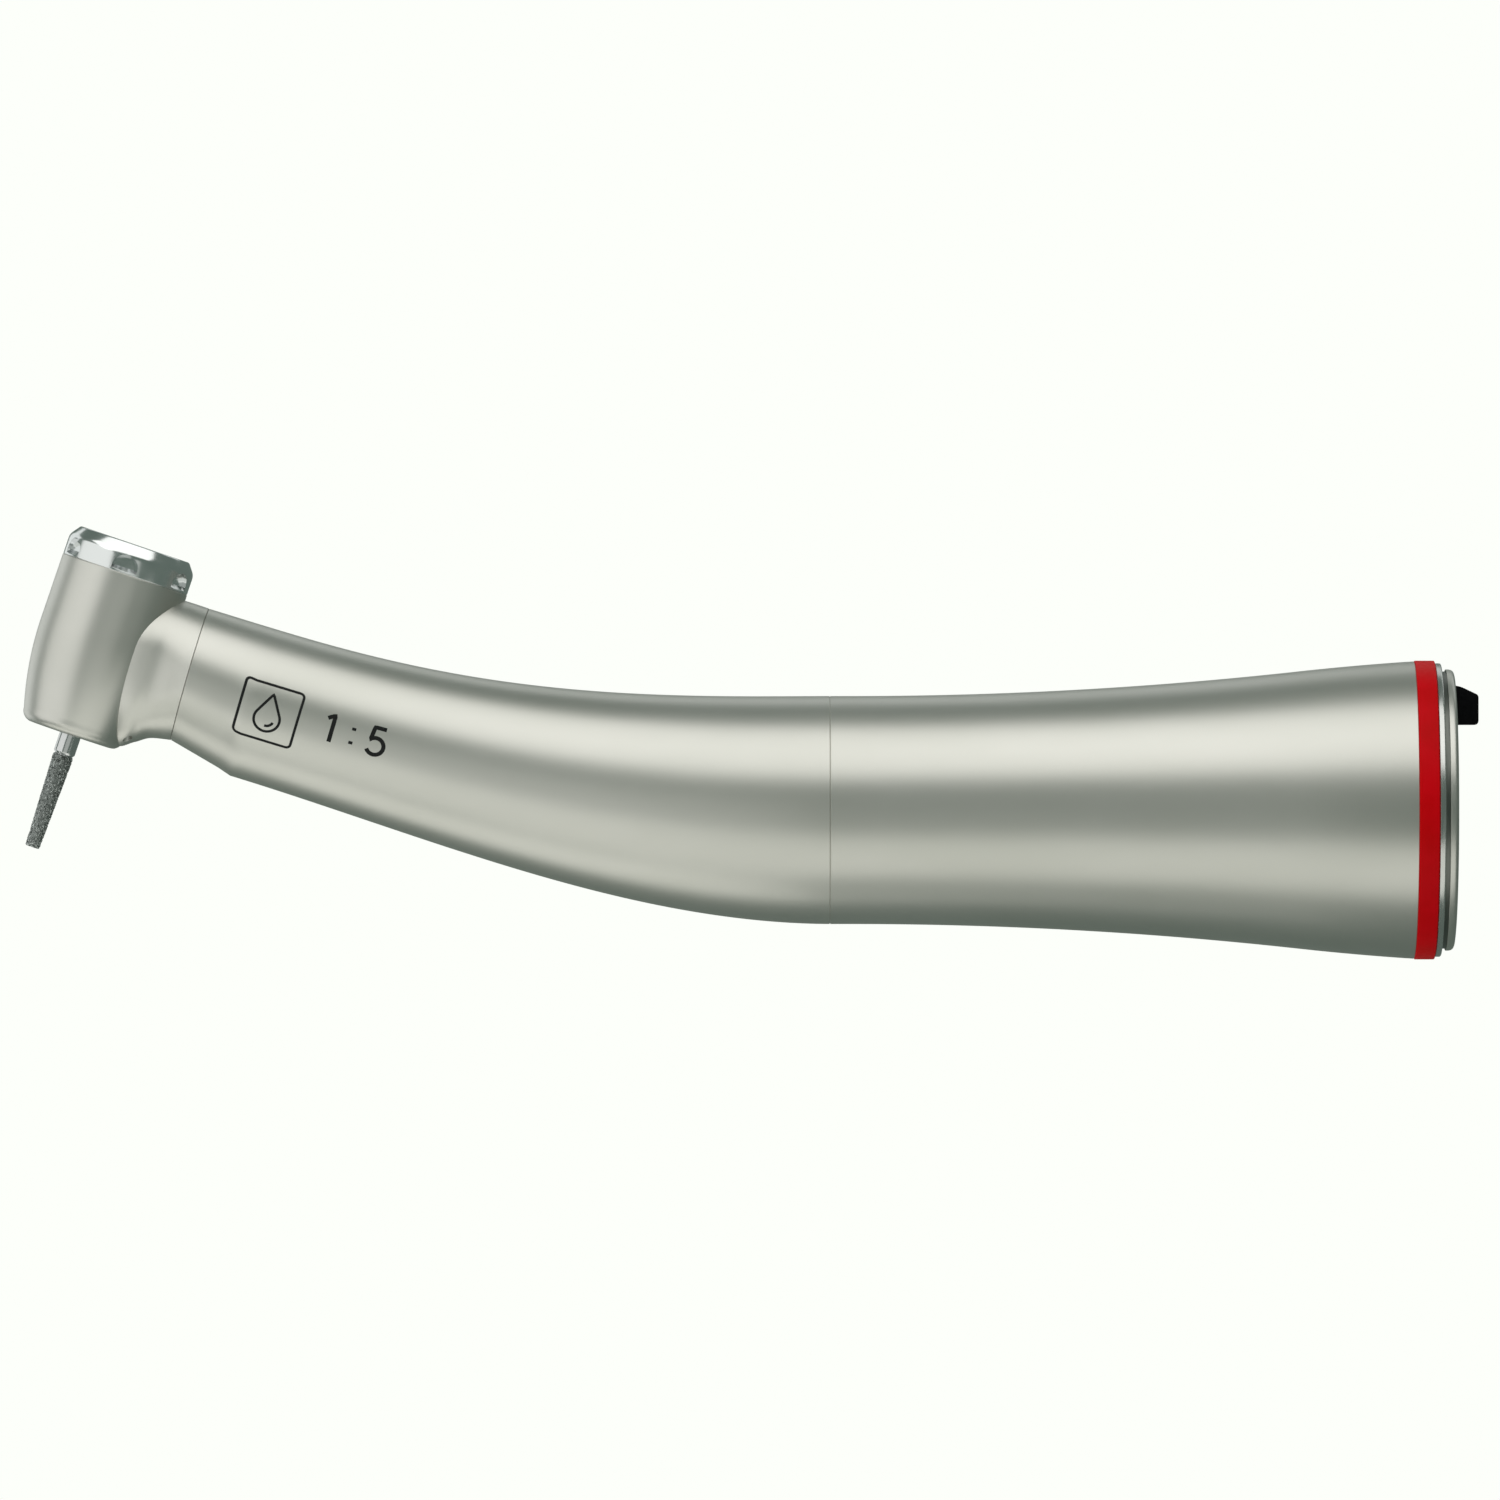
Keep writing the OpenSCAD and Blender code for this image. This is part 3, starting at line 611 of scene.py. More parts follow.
hollows = [
    turned("spindle_bore", spindle_bore, head_axis, loop=False, steps=HEAD_STEPS),
    turned("cap_seal_groove", seal_groove, head_axis),
    turned("nose_opening", nose_opening, head_axis, loop=False, steps=HEAD_STEPS),
    turned("shaft_bore", shaft_bore, front_axis, loop=False, steps=HEAD_STEPS),
    turned("window_seat", window_seat, under_neck(0), loop=False, steps=64),
    turned("spray_port", spray_port, under_neck(-PORT_Y), loop=False, steps=40),
    turned("spray_port", spray_port, under_neck(PORT_Y), loop=False, steps=40),
]
carve(head_housing, *hollows)
dress(head_housing, titanium, "titanium_coat", "housing", "head_housing")

# ---- Head cap ----
# A polished stainless cap screws into the barrel and holds the button. Six half-moon notches in
# its rim take the wrench, and a bevel leads up to the button.
WRENCH_NOTCHES = 6
NOTCH_R = 0.97
NOTCH_H = 12.93
NOTCH_TURN = math.radians(30)
CAP_TOP = 14.8
LIP_R = 3.15


def new_tree(name, inputs, output):
    """A node tree with named inputs and one shape as its output, ready for its nodes."""
    tree = bpy.data.node_groups.new(name, "GeometryNodeTree")
    tree.is_modifier = True
    for label, kind in inputs:
        tree.interface.new_socket(label, in_out="INPUT", socket_type="NodeSocket" + kind)
    tree.interface.new_socket(output, in_out="OUTPUT", socket_type="NodeSocketGeometry")
    return tree, tree.nodes.new("NodeGroupInput"), tree.nodes.new("NodeGroupOutput")


def repeat_round():
    """Copies a shape round an axis along local Z, evenly, as one mesh."""
    inputs = [("Shape", "Geometry"), ("Count", "Int"), ("Finish", "Material")]
    tree, given, made = new_tree("repeat_round", inputs, "Shape")
    line = tree.nodes.new("GeometryNodeMeshLine")
    line.inputs["Offset"].default_value = (0, 0, 0)
    place = tree.nodes.new("GeometryNodeInstanceOnPoints")
    index = tree.nodes.new("GeometryNodeInputIndex")
    share = tree.nodes.new("ShaderNodeMath")
    share.operation = "DIVIDE"
    angle = tree.nodes.new("ShaderNodeMath")
    angle.operation = "MULTIPLY"
    angle.inputs[1].default_value = 2 * math.pi
    turn = tree.nodes.new("ShaderNodeCombineXYZ")
    real = tree.nodes.new("GeometryNodeRealizeInstances")
    finish = tree.nodes.new("GeometryNodeSetMaterial")
    link = tree.links.new
    link(given.outputs["Count"], line.inputs["Count"])
    link(index.outputs["Index"], share.inputs[0])
    link(given.outputs["Count"], share.inputs[1])
    link(share.outputs[0], angle.inputs[0])
    link(angle.outputs[0], turn.inputs["Z"])
    link(line.outputs["Mesh"], place.inputs["Points"])
    link(given.outputs["Shape"], place.inputs["Instance"])
    link(turn.outputs["Vector"], place.inputs["Rotation"])
    link(place.outputs["Instances"], real.inputs["Geometry"])
    link(real.outputs["Geometry"], finish.inputs["Geometry"])
    link(given.outputs["Finish"], finish.inputs["Material"])
    link(finish.outputs["Geometry"], made.inputs["Shape"])
    return tree


round_tree = repeat_round()


def set_input(modifier, name, value):
    """Sets a node tree's named input on its modifier."""
    items = modifier.node_group.interface.items_tree
    socket = next(s for s in items if s.name == name and s.in_out == "INPUT")
    modifier[socket.identifier] = value


def copied_round(piece, count, finish=None):
    """The piece repeated round local Z, as a plain mesh."""
    change = piece.modifiers.new("round", "NODES")
    change.node_group = round_tree
    set_input(change, "Count", count)
    set_input(change, "Finish", finish)
    return settle(piece)


def polished_steel():
    """Mirror-bright steel with faint polishing haze and hairline scratches."""
    material, tree, shader = new_finish("polished_steel", (0.78, 0.795, 0.8), 1.0, 0.17)
    haze = speckle(tree, 1.2, 3)
    vary(tree, haze, shader.inputs["Roughness"], 0.13, 0.21)
    hairs = speckle(tree, 0.5, 4, (1, 1, 0.12))
    raise_grain(tree, hairs, shader, 0.0012, 0.35)
    return material


def bow(centre, radius, start, end, steps=18):
    """Points round part of a circle, in degrees."""
    turns = [math.radians(start + (end - start) * i / steps) for i in range(steps + 1)]
    return [(centre[0] + radius * math.cos(a), centre[1] + radius * math.sin(a)) for a in turns]


cap_outline = rounded([
    (10.95, SEAT_R, 0), (10.95, 4.18, 0.1), (CAP_H, 4.18, 0), (CAP_H, 4.72, 0), (CAP_H, 4.8, 0.06),
    (14, 4.8, 0.3), (CAP_TOP, 4.2, 0.12), (CAP_TOP, LIP_R, 0.12), (13.95, LIP_R, 0),
    (13.95, 3.6, 0), (12.85, 3.6, 0), (12.85, SEAT_R, 0),
], steps=6)
head_cap = turned("head_cap_shell", cap_outline, Matrix.Identity(4))
half_moon = []
# The cutter's inner end, whose top leans inwards, and its outer end, whose floor is lower.
for out, lean, floor in ((4.46, 0.21, 0.02), (5.2, 0, -0.72)):
    outline = bow((0, 0), NOTCH_R, 180, 0, 20)
    outline += [(NOTCH_R * 0.96, floor), (-NOTCH_R * 0.96, floor)]
    half_moon.append([(out - lean * up, side, NOTCH_H + up) for side, up in outline])
notches = skin("notches", half_moon, loop=False)
notches.data.transform(Matrix.Rotation(NOTCH_TURN, 4, "Z"))
copied_round(notches, WRENCH_NOTCHES)
carve(head_cap, notches)
head_in_metres = Matrix.Translation(head_base * MM) @ head_turn.to_4x4()
head_cap.data.transform(head_in_metres)
cap_steel = polished_steel()
dress(head_cap, cap_steel, "polished_cap", "housing", "head_cap")

# ---- Push button ----
# A stainless button, turned with a shallow dish and a rounded rim, rides just inside the cap's
# lip. Pressing it opens the chuck.
BUTTON_R = LIP_R - 0.05
BUTTON_TOP = 14.72
button_outline = rounded([
    (13.7, 0.02, 0), (13.7, 3.5, 0.05), (13.93, 3.5, 0.05), (13.93, BUTTON_R, 0),
    (BUTTON_TOP, BUTTON_R, 0.16), (BUTTON_TOP, 2.25, 0.1), (14.62, 2.15, 0.1),
    (14.56, 1.2, 0.4), (14.58, 0.02, 0),
], steps=6)
push_button = turned("push_button_face", button_outline, head_axis, loop=False)


def satin_steel():
    """Satin steel with a fine even grain."""
    material, tree, shader = new_finish("satin_steel", (0.66, 0.665, 0.66), 1.0, 0.22)
    grain = speckle(tree, 0.1, 2)
    vary(tree, grain, shader.inputs["Roughness"], 0.18, 0.3)
    clouds = speckle(tree, 2, 2)
    tint(tree, clouds, shader.inputs["Base Color"], (0.62, 0.625, 0.62), (0.69, 0.695, 0.69))
    raise_grain(tree, grain, shader, 0.002, 0.4)
    return material


dress(push_button, satin_steel(), "polished_cap", "button", "push_button")

# ---- Springs in the head ----
# A conical wire spring lifts the button, and a plain one lifts the plunger inside the spindle.
# Both are hard-drawn stainless wire; in use both shorten as the button goes down, but here each
# keeps one length.
SPRING_STEPS = 24
WIRE_SIDES = 10


def spring_tree():
    """Winds a round wire into a spring that stands up from the origin."""
    sizes = ("Turns", "Lower radius", "Upper radius", "Height", "Wire radius")
    inputs = [("Spring", "Geometry"), *((size, "Float") for size in sizes), ("Finish", "Material")]
    tree, given, made = new_tree("wound_spring", inputs, "Spring")
    helix = tree.nodes.new("GeometryNodeCurveSpiral")
    helix.inputs["Resolution"].default_value = SPRING_STEPS
    section = tree.nodes.new("GeometryNodeCurvePrimitiveCircle")
    section.inputs["Resolution"].default_value = WIRE_SIDES
    sweep = tree.nodes.new("GeometryNodeCurveToMesh")
    sweep.inputs["Fill Caps"].default_value = True
    real = tree.nodes.new("GeometryNodeRealizeInstances")
    finish = tree.nodes.new("GeometryNodeSetMaterial")
    link = tree.links.new
    link(given.outputs["Turns"], helix.inputs["Rotations"])
    link(given.outputs["Lower radius"], helix.inputs["Start Radius"])
    link(given.outputs["Upper radius"], helix.inputs["End Radius"])
    link(given.outputs["Height"], helix.inputs["Height"])
    link(given.outputs["Wire radius"], section.inputs["Radius"])
    link(helix.outputs["Curve"], sweep.inputs["Curve"])
    link(section.outputs["Curve"], sweep.inputs["Profile Curve"])
    link(sweep.outputs["Mesh"], real.inputs["Geometry"])
    link(real.outputs["Geometry"], finish.inputs["Geometry"])
    link(given.outputs["Finish"], finish.inputs["Material"])
    link(finish.outputs["Geometry"], made.inputs["Spring"])
    return tree


spring_nodes = spring_tree()
spring_steel = turned_steel("spring_steel", (0.5, 0.51, 0.53), 0.26)


def wound_spring(name, low, high, lower_r, upper_r, turns, wire_r):
    """A spring between two heights in the head."""
    mesh = bpy.data.meshes.new(name)
    piece = bpy.data.objects.new(name, mesh)
    bpy.context.scene.collection.objects.link(piece)
    change = piece.modifiers.new("wound", "NODES")
    change.node_group = spring_nodes
    sizes = {"Turns": turns, "Lower radius": lower_r * MM, "Upper radius": upper_r * MM,
             "Height": (high - low) * MM, "Wire radius": wire_r * MM}
    for socket, size in sizes.items():
        set_input(change, socket, float(size))
    set_input(change, "Finish", spring_steel)
    settle(piece)
    piece.data.transform(head_in_metres @ Matrix.Translation((0, 0, low * MM)))
    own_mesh(piece)
    return piece


button_spring = wound_spring("button_spring_coil", low=12.95, high=13.57, lower_r=2.95,
                             upper_r=2.2, turns=3, wire_r=0.11)
dress(button_spring, spring_steel, "bright_metal", "housing", "button_spring")
chuck_spring = wound_spring("chuck_spring_coil", low=10.78, high=12.72, lower_r=1.08,
                            upper_r=1.08, turns=4, wire_r=0.1)
dress(chuck_spring, spring_steel, "bright_metal", "spindle", "chuck_spring")

# ---- Bur ----
# A ground steel shank, held by friction, ends in a slightly tapered working part. Diamond grit is
# bonded to it in nickel, so each grain stands out by itself.
BUR_TIP = -8.75
SHANK_R = 0.8
SHANK_TOP = 10.25
GRIT_TOP = -1.6
GRIT_SEED = 7
GRAINS_PER_MM2 = 110
GRAIN_R = 0.062
GRAIN_SIZES = (0.55, 1.15)
GRAIN_TURN = 6.28


def ground_steel():
    """Bright ground steel with grinding lines round the shank."""
    material, tree, shader = new_finish("ground_shank_steel", (0.66, 0.665, 0.67), 1.0, 0.14)
    lines = speckle(tree, 0.09, 2, (0.15, 0.15, 1))
    vary(tree, lines, shader.inputs["Roughness"], 0.1, 0.22)
    raise_grain(tree, lines, shader, 0.0015, 0.4)
    return material


def nickel_bond():
    """The dull nickel between the grains."""
    material, tree, shader = new_finish("nickel_bond", (0.26, 0.275, 0.265), 1.0, 0.42)
    grain = speckle(tree, 0.08, 3)
    tint(tree, grain, shader.inputs["Base Color"], (0.12, 0.135, 0.128), (0.36, 0.38, 0.37))
    vary(tree, grain, shader.inputs["Roughness"], 0.3, 0.6)
    raise_grain(tree, grain, shader, 0.02, 0.8)
    return material


def diamond_grain():
    """Grey diamond grains, some pale and some dark, with glinting faces."""
    material, tree, shader = new_finish("diamond_grains", (0.2, 0.21, 0.205), 0.75, 0.16)
    pale = speckle(tree, 0.16, 1)
    tint(tree, pale, shader.inputs["Base Color"],
         (0.09, 0.1, 0.095), (0.6, 0.63, 0.62), low=0.36, high=0.66)
    vary(tree, speckle(tree, 0.25, 1), shader.inputs["Roughness"], 0.08, 0.3)
    return material


shank_outline = rounded([
    (BUR_TIP + 0.15, 0.02, 0), (BUR_TIP + 0.15, 0.42, 0), (-1.55, 0.66, 0),
    (-1.38, SHANK_R, 0.04), (10.05, SHANK_R, 0.1), (SHANK_TOP, 0.6, 0.05), (SHANK_TOP, 0.02, 0),
])
bur_shank = turned("bur_shank_ground", shank_outline, head_axis, loop=False, steps=HEAD_STEPS)
dress(bur_shank, ground_steel(), "bur_steel", "bur", "bur_shank")


def grit_tree():
    """Scatters faceted grains over a surface, each turned and sized at random."""
    inputs = [("Core", "Geometry"), ("Grains per square metre", "Float"),
              ("Grain radius", "Float"), ("Seed", "Int"),
              ("Grain finish", "Material"), ("Bond finish", "Material")]
    tree, given, made = new_tree("diamond_grit", inputs, "Coated core")
    scatter = tree.nodes.new("GeometryNodeDistributePointsOnFaces")
    grain = tree.nodes.new("GeometryNodeMeshIcoSphere")
    turn = tree.nodes.new("FunctionNodeRandomValue")
    turn.data_type = "FLOAT_VECTOR"
    turn.inputs["Max"].default_value = [GRAIN_TURN] * 3
    size = tree.nodes.new("FunctionNodeRandomValue")
    size.data_type = "FLOAT_VECTOR"
    size.inputs["Min"].default_value = [GRAIN_SIZES[0]] * 3
    size.inputs["Max"].default_value = [GRAIN_SIZES[1]] * 3
    place = tree.nodes.new("GeometryNodeInstanceOnPoints")
    real = tree.nodes.new("GeometryNodeRealizeInstances")
    grain_finish = tree.nodes.new("GeometryNodeSetMaterial")
    bond_finish = tree.nodes.new("GeometryNodeSetMaterial")
    join = tree.nodes.new("GeometryNodeJoinGeometry")
    link = tree.links.new
    link(given.outputs["Core"], scatter.inputs["Mesh"])
    link(given.outputs["Grains per square metre"], scatter.inputs["Density"])
    link(given.outputs["Seed"], scatter.inputs["Seed"])
    link(given.outputs["Seed"], turn.inputs["Seed"])
    link(given.outputs["Seed"], size.inputs["Seed"])
    link(given.outputs["Grain radius"], grain.inputs["Radius"])
    link(scatter.outputs["Points"], place.inputs["Points"])
    link(grain.outputs["Mesh"], place.inputs["Instance"])
    link(turn.outputs["Value"], place.inputs["Rotation"])
    link(size.outputs["Value"], place.inputs["Scale"])
    link(place.outputs["Instances"], real.inputs["Geometry"])
    link(real.outputs["Geometry"], grain_finish.inputs["Geometry"])
    link(given.outputs["Grain finish"], grain_finish.inputs["Material"])
    link(given.outputs["Core"], bond_finish.inputs["Geometry"])
    link(given.outputs["Bond finish"], bond_finish.inputs["Material"])
    link(grain_finish.outputs["Geometry"], join.inputs["Geometry"])
    link(bond_finish.outputs["Geometry"], join.inputs["Geometry"])
    link(join.outputs["Geometry"], made.inputs["Coated core"])
    return tree


core_outline = rounded([
    (BUR_TIP + 0.07, 0.02, 0), (BUR_TIP + 0.07, 0.5, 0.06), (GRIT_TOP - 0.1, 0.73, 0.05),
    (GRIT_TOP, 0.67, 0), (GRIT_TOP, 0.02, 0),
])
bur_grit = turned("bur_diamond_grit", core_outline, head_axis, loop=False, steps=64)
bond, grains = nickel_bond(), diamond_grain()
grit = bur_grit.modifiers.new("grit", "NODES")
grit.node_group = grit_tree()
set_input(grit, "Grains per square metre", GRAINS_PER_MM2 / MM ** 2)
set_input(grit, "Grain radius", GRAIN_R * MM)
set_input(grit, "Seed", GRIT_SEED)
set_input(grit, "Grain finish", grains)
set_input(grit, "Bond finish", bond)
settle(bur_grit)
smooth(bur_grit, math.radians(20))
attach(bur_grit, "bur")
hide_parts("bur_diamond_coat")

# ---- Light window ----
# The light guide ends in a small domed glass window. It is cemented into a recess under the
# neck, and lights the bur's tip.
WINDOW_R = 0.75
WINDOW_DOME = 0.11
WINDOW_STEPS = 8
DOME_EDGE = 1.22


def clear_glass():
    """Clear, faintly green glass with a fire-polished surface."""
    material, tree, shader = new_finish("clear_glass", (0.9, 0.97, 0.95), 0.0, 0.04)
    shader.inputs["Transmission Weight"].default_value = 0.85
    shader.inputs["IOR"].default_value = 1.5
    raise_grain(tree, speckle(tree, 0.8, 1), shader, 0.002, 0.3)
    return material


glass = clear_glass()
window_outline = [(1.5, 0.02), (1.5, WINDOW_R), (DOME_EDGE, WINDOW_R)]
for i in range(1, WINDOW_STEPS):
    a = math.pi / 2 * i / WINDOW_STEPS
    window_outline.append((DOME_EDGE - WINDOW_DOME * math.sin(a), WINDOW_R * math.cos(a)))
window_outline.append((1.105, 0.02))
light_window = turned("light_window_lens", window_outline, under_neck(0), loop=False, steps=64)
dress(light_window, glass, "guide_glass", "housing", "light_window")

# ---- Seal round the spindle's nose ----
# A moulded black rubber ring with a rounded lip sits in the foot of the barrel. It keeps water
# out of the head's lower bearing.
SEAL_R = 2.88
SEAL_BORE_R = 1.75


def black_rubber():
    """Matt black rubber with a fine moulded grain."""
    material, tree, shader = new_finish("black_rubber", (0.022, 0.022, 0.023), 0.0, 0.62)
    grain = speckle(tree, 0.2, 3)
    tint(tree, grain, shader.inputs["Base Color"], (0.016, 0.016, 0.017), (0.03, 0.03, 0.031))
    vary(tree, grain, shader.inputs["Roughness"], 0.55, 0.72)
    raise_grain(tree, grain, shader, 0.006, 0.4)
    return material


rubber = black_rubber()
seal_outline = rounded([
    (0.12, SEAL_BORE_R, 0.1), (0.12, SEAL_R, 0.14), (0.7, SEAL_R, 0), (0.7, SEAL_BORE_R, 0),
], steps=5)
dust_seal = turned("dust_seal_lip", seal_outline, head_axis, steps=HEAD_STEPS)
dress(dust_seal, rubber, "seal_rubber", "housing", "dust_seal")

# ---- Marks ----
# The gear ratio, and a plain water drop in a square for the spray, are laser-marked: the beam
# leaves a thin dark oxide line that follows the shell. Each line here is a ribbon a few microns
# proud.
LINE_LIFT = 0.008
LINE_DEPTH = 0.03
LINE_STEP = 0.12
DIGIT_LINE = 0.3
SIGN_LINE = 0.19
DIGIT_H = 2
RATIO_AT = (-80.85, -0.13)
SIGN_AT = (-86.95, -0.4)
SIGN_SIZE = 4.2


def on_near_side(along, up, lift):
    """A point on the shell's near side, from a place along it and a height round it."""
    pairs = zip(stations, stations[1:])
    a, b = next((a, b) for a, b in pairs if b[0].x <= along)
    place, tilt, radius = between(a, b, (a[0].x - along) / (a[0].x - b[0].x))
    return Vector(on_body(place, tilt, radius + lift, math.degrees(up / radius) - 90))


def marked_line(points, width, at):
    """One marked line through flat points about a place, laid on the shell."""
    fine = []
    for a, b in zip(points, points[1:]):
        a, b = Vector(a), Vector(b)
        steps = max(1, round((b - a).length / LINE_STEP))
        fine += [a.lerp(b, s / steps) for s in range(steps)]
    fine.append(Vector(points[-1]))
    closed = points[0] == points[-1]
    if closed:
        fine.pop()
    rings = []
    last = len(fine) - 1
    for i, p in enumerate(fine):
        after = fine[(i + 1) % len(fine)] if closed else fine[min(i + 1, last)]
        before = fine[i - 1] if closed else fine[max(i - 1, 0)]
        way = (after - before).normalized()
        side = Vector((-way.y, way.x)) * width / 2
        edge = [(p + side, -LINE_DEPTH), (p + side, LINE_LIFT),
                (p - side, LINE_LIFT), (p - side, -LINE_DEPTH)]
        rings.append([on_near_side(at[0] + q.x, at[1] + q.y, lift) for q, lift in edge])
    return skin("line", rings, closed)


def joined(name, pieces):
    """Several meshes as one piece."""
    shape = bmesh.new()
    for piece in pieces:
        shape.from_mesh(piece.data)
        bpy.data.objects.remove(piece)
    mesh = bpy.data.meshes.new(name)
    shape.to_mesh(mesh)
    shape.free()
    piece = bpy.data.objects.new(name, mesh)
    bpy.context.scene.collection.objects.link(piece)
    return smooth(piece)


def marked_oxide():
    """Dark laser-marked oxide with a slightly uneven depth of colour."""
    material, tree, shader = new_finish("marked_oxide", (0.01, 0.011, 0.011), 0.0, 0.5)
    shader.inputs["Specular IOR Level"].default_value = 0.15
    grain = speckle(tree, 0.1, 2)
    tint(tree, grain, shader.inputs["Base Color"], (0.006, 0.007, 0.007), (0.018, 0.019, 0.019))
    vary(tree, grain, shader.inputs["Roughness"], 0.42, 0.6)
    return material


half = DIGIT_H / 2
bowl = bow((1.72, -half + 0.62), 0.62, 125, -150)
digits = [
    [(-1.98, half - 0.32), (-1.5, half), (-1.5, -half)],
    [(0, 0.3), (0, 0.52)],
    [(0, -0.72), (0, -0.5)],
    [(2.25, half), (1.42, half), (1.3, bowl[0][1] - 0.12)] + bowl,
]
edge = SIGN_SIZE / 2
corner = edge - 0.3
square = []
for i, (x, y) in enumerate(((1, 1), (-1, 1), (-1, -1), (1, -1))):
    square += bow((x * corner, y * corner), edge - corner, 90 * i, 90 * i + 90, 4)
drop = [(0, 1.45)] + bow((0, -0.45), 0.92, 27, -207, 28) + [(0, 1.45)]
gleam = bow((0, -0.45), 0.5, -95, -15, 8)
lines = [marked_line(d, DIGIT_LINE, RATIO_AT) for d in digits]
lines += [marked_line(d, SIGN_LINE, SIGN_AT) for d in (square + square[:1], drop, gleam)]
body_marks = joined("body_marks", lines)
dress(body_marks, marked_oxide(), "key_plastic", "housing")

# ---- Working parts inside ----
# Shafts, gears, bearings, clips, tubes and seals inside the casing keep their own shapes. They
# are ground or hardened steel, brass, polymer, ceramic, rubber and glass.
def ceramic():
    """Polished near-black silicon nitride."""
    material, tree, shader = new_finish("silicon_nitride", (0.06, 0.06, 0.065), 0.0, 0.08)
    grain = speckle(tree, 0.5, 2)
    tint(tree, grain, shader.inputs["Base Color"], (0.045, 0.045, 0.05), (0.085, 0.085, 0.09))
    vary(tree, grain, shader.inputs["Roughness"], 0.06, 0.12)
    return material


def cage_polymer():
    """Brown machined polymer."""
    material, tree, shader = new_finish("cage_polymer", (0.28, 0.15, 0.06), 0.0, 0.45)
    grain = speckle(tree, 0.3, 3)
    tint(tree, grain, shader.inputs["Base Color"], (0.23, 0.12, 0.045), (0.33, 0.18, 0.075))
    vary(tree, grain, shader.inputs["Roughness"], 0.38, 0.55)
    raise_grain(tree, grain, shader, 0.004, 0.4)
    return material


inside = [
    (ceramic(), ["drive_bearing_balls", "front_bearing_balls", "head_bearing_balls"]),
    (cage_polymer(), ["drive_bearing_cages", "front_bearing_cages", "head_bearing_cages"]),
    (turned_steel("turned_brass", (0.68, 0.5, 0.22), 0.24),
     ["spray_manifold", "carrier_nut", "front_bearing_nut", "drive_bearing_spacer"]),
    (rubber, ["sleeve_o_ring", "cap_o_ring"]),
    (spring_steel, ["preload_washer", "drive_clip", "dog_pin"]),
    (glass, ["light_guide"]),
    (turned_steel("drawn_tube_steel", (0.58, 0.59, 0.6), 0.28, 0.3), ["water_tube", "air_tube"]),
    (turned_steel("bearing_steel", (0.64, 0.65, 0.67), 0.14, 0.08),
     ["drive_bearing_outers", "front_bearing_outers", "head_bearing_outers",
      "drive_bearing_inners", "front_bearing_inners", "head_bearing_inners"]),
    (turned_steel("hardened_steel", (0.48, 0.48, 0.5), 0.22, 0.1),
     ["drive_shaft", "drive_dog", "ring_gear", "front_shaft", "shaft_pinion", "crown_gear",
      "spindle", "chuck_collet", "release_plunger"]),
    (bright_steel, ["shaft_carrier", "bend_bulkhead", "front_shaft_tube"]),
]
for material, nodes in inside:
    for node in nodes:
        for place in frame["nodes"][node].material_slots:
            place.material = material

# ---- Floor and backdrop ----
# A pale floor runs out to a plain pale dome of the same tone, so that no horizon shows from any
# side. Neither of them lights the handpiece, takes its shadow or shows in its reflections.
FLOOR_Z = -42
FLOOR_R = 2500
FLOOR_THICK = 4
DOME_R = 3000
DOME_BANDS = 24
STAGE_SIDES = 48
STAGE_TONE = (0.98, 1.0, 0.957)


def plain_tone():
    """An even, unshaded pale tone."""
    material = bpy.data.materials.new("plain_tone")
    material.use_nodes = True
    tree = material.node_tree
    tree.nodes.clear()
    glow = tree.nodes.new("ShaderNodeEmission")
    glow.inputs["Color"].default_value = (*STAGE_TONE, 1)
    out = tree.nodes.new("ShaderNodeOutputMaterial")
    tree.links.new(glow.outputs["Emission"], out.inputs["Surface"])
    return material


upright = Matrix.Identity(3)
dome_side = []
for i in range(DOME_BANDS + 1):
    rise = math.radians(-89 + 178 * i / DOME_BANDS)
    dome_side.append((DOME_R * math.sin(rise), DOME_R * math.cos(rise)))
backdrop = turned("backdrop", dome_side, upright, loop=False, steps=STAGE_SIDES)
floor_edge = [(FLOOR_Z - FLOOR_THICK, FLOOR_R), (FLOOR_Z, FLOOR_R)]
floor = turned("floor", floor_edge, upright, loop=False, steps=STAGE_SIDES)
stage_tone = plain_tone()
for piece in (backdrop, floor):
    piece.data.materials.append(stage_tone)
    piece.visible_glossy = False
    piece.visible_diffuse = False
    piece.visible_transmission = False
    piece.visible_shadow = False

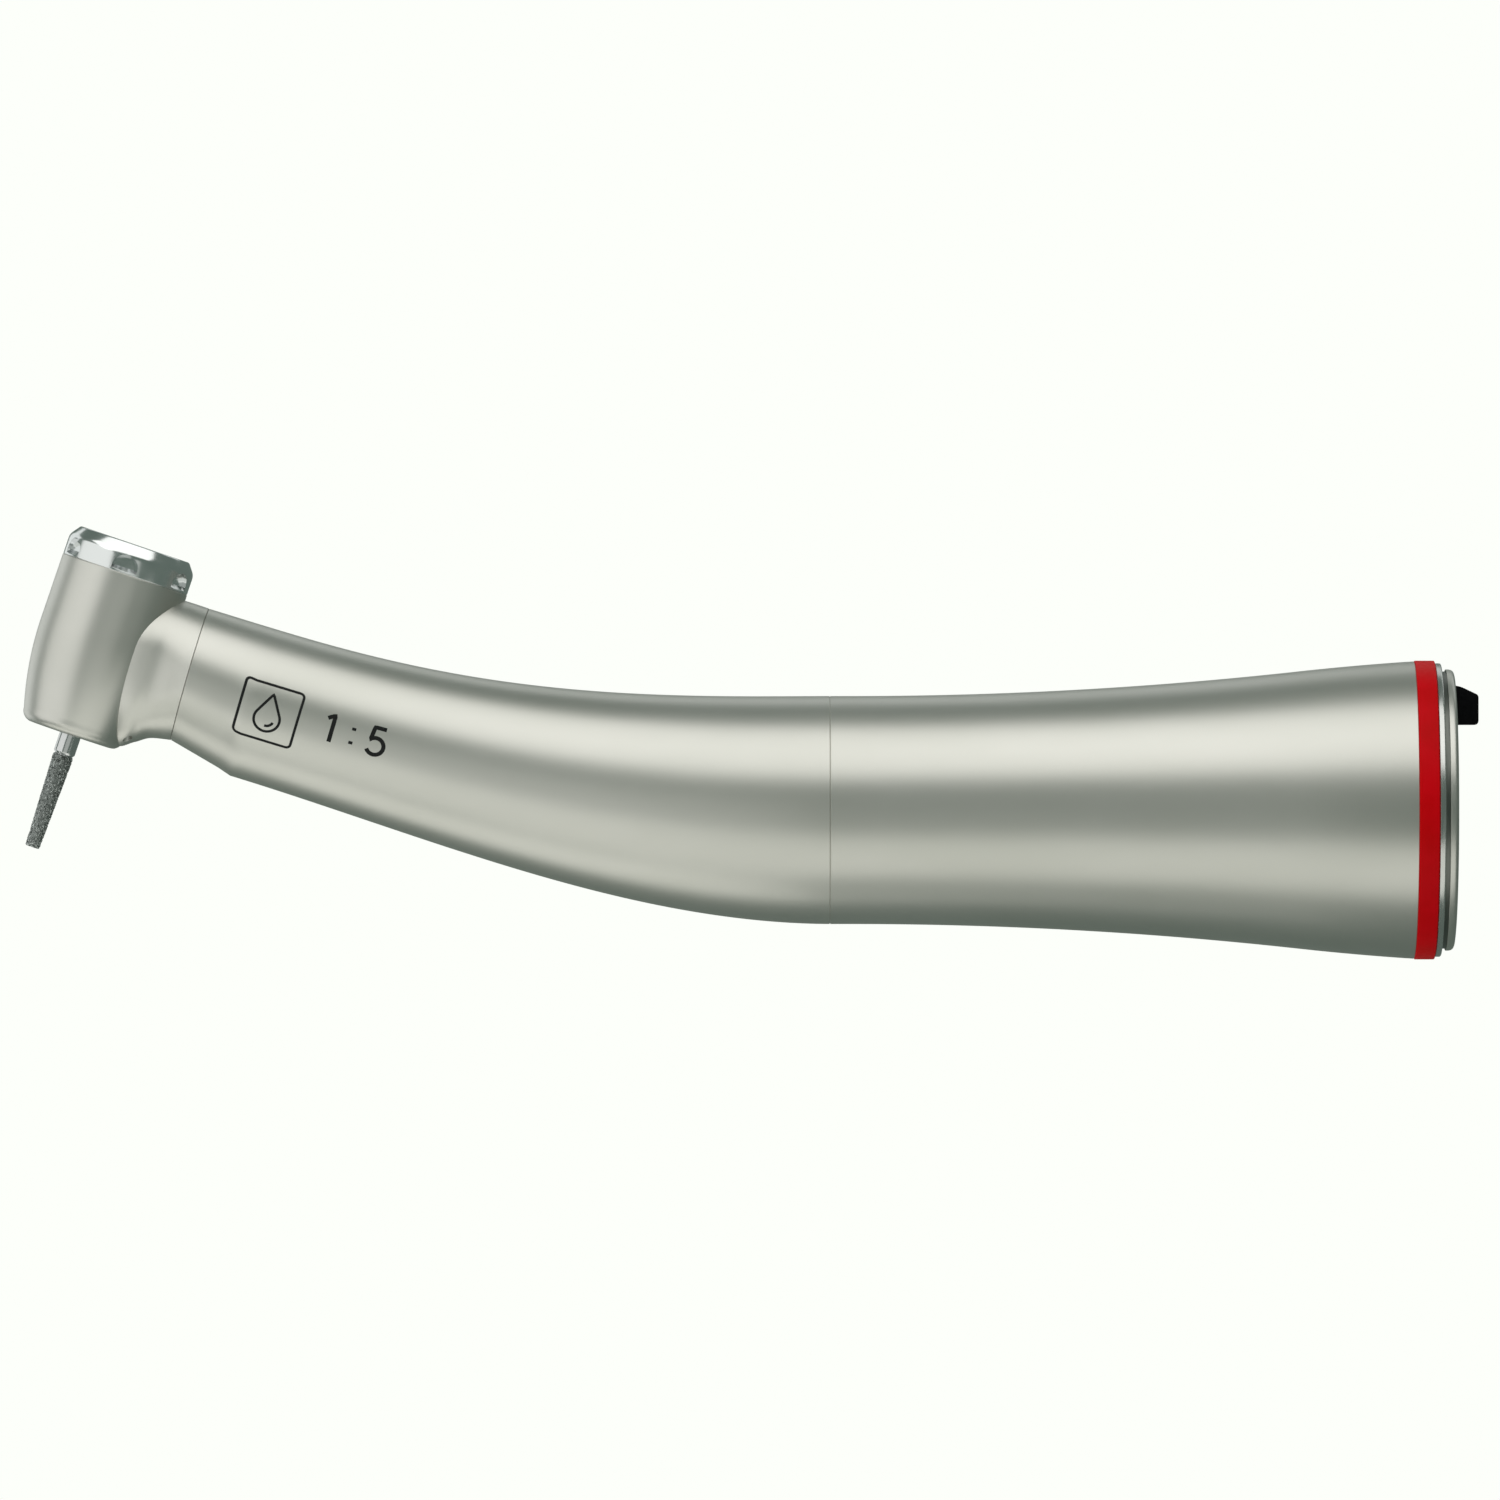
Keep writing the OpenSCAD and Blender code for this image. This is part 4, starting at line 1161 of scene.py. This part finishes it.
# ---- Lights ----
# A long overhead softbox draws the bright band along the upper flank and a weaker one below
# draws the lower band. Two stand at the left and one behind, and two small cards fill the
# head's side and its underside. The room between them is dim.
room = bpy.data.worlds.new("dim_room")
room.use_nodes = True
room.node_tree.nodes["Background"].inputs["Color"].default_value = (0.27, 0.345, 0.3, 1)
room.node_tree.nodes["Background"].inputs["Strength"].default_value = 0.49
bpy.context.scene.world = room
middle = Vector((-52, 0, 4)) * MM
head_side = Vector((-92, 0, 6)) * MM


def softbox(name, direction, distance, width, height, power, colour, target):
    """A soft rectangular light that faces a place on the handpiece; its sizes are in metres."""
    data = bpy.data.lights.new(name, "AREA")
    data.shape = "RECTANGLE"
    data.size = width
    data.size_y = height
    data.energy = power
    data.color = colour
    lamp = bpy.data.objects.new(name, data)
    way = Vector(direction).normalized()
    lamp.location = target + way * distance
    lamp.visible_camera = False
    lamp.rotation_euler = way.to_track_quat("Z", "X" if abs(way.z) > 0.99 else "Y").to_euler()
    bpy.context.scene.collection.objects.link(lamp)


def front(elevation):
    """The direction towards the camera's side at an elevation in degrees."""
    a = math.radians(elevation)
    return (0, -math.cos(a), math.sin(a))


# Each light's name, direction, distance, width, height, power, colour and what it faces.
lights = [
    ("upper_softbox", front(62), 0.6, 1.1, 0.7, 2.9, (1, 0.985, 0.96), middle),
    ("lower_softbox", front(-49), 0.6, 1.1, 0.5, 1.3, (1, 0.985, 0.93), middle),
    ("left_softbox", (-0.93, -0.45, 0.1), 0.6, 0.8, 0.8, 1.65, (1, 0.98, 0.965), middle),
    ("left_rear_softbox", (-0.75, 0.75, 0.15), 0.7, 0.5, 0.8, 0.9, (1, 1, 1), middle),
    ("rear_softbox", (0.3, 0.9, 0.75), 0.8, 0.9, 0.3, 0.5, (1, 1, 1), middle),
    ("card_beside_head", front(-11), 0.13, 0.09, 0.09, 0.0092, (1, 0.985, 0.95), head_side),
    ("card_under_head", (-0.34, 0.1, -0.94), 0.16, 0.1, 0.2, 0.055, (1, 0.985, 0.93), head_side),
]
for light in lights:
    softbox(*light)
bpy.context.scene.view_settings.view_transform = "Standard"
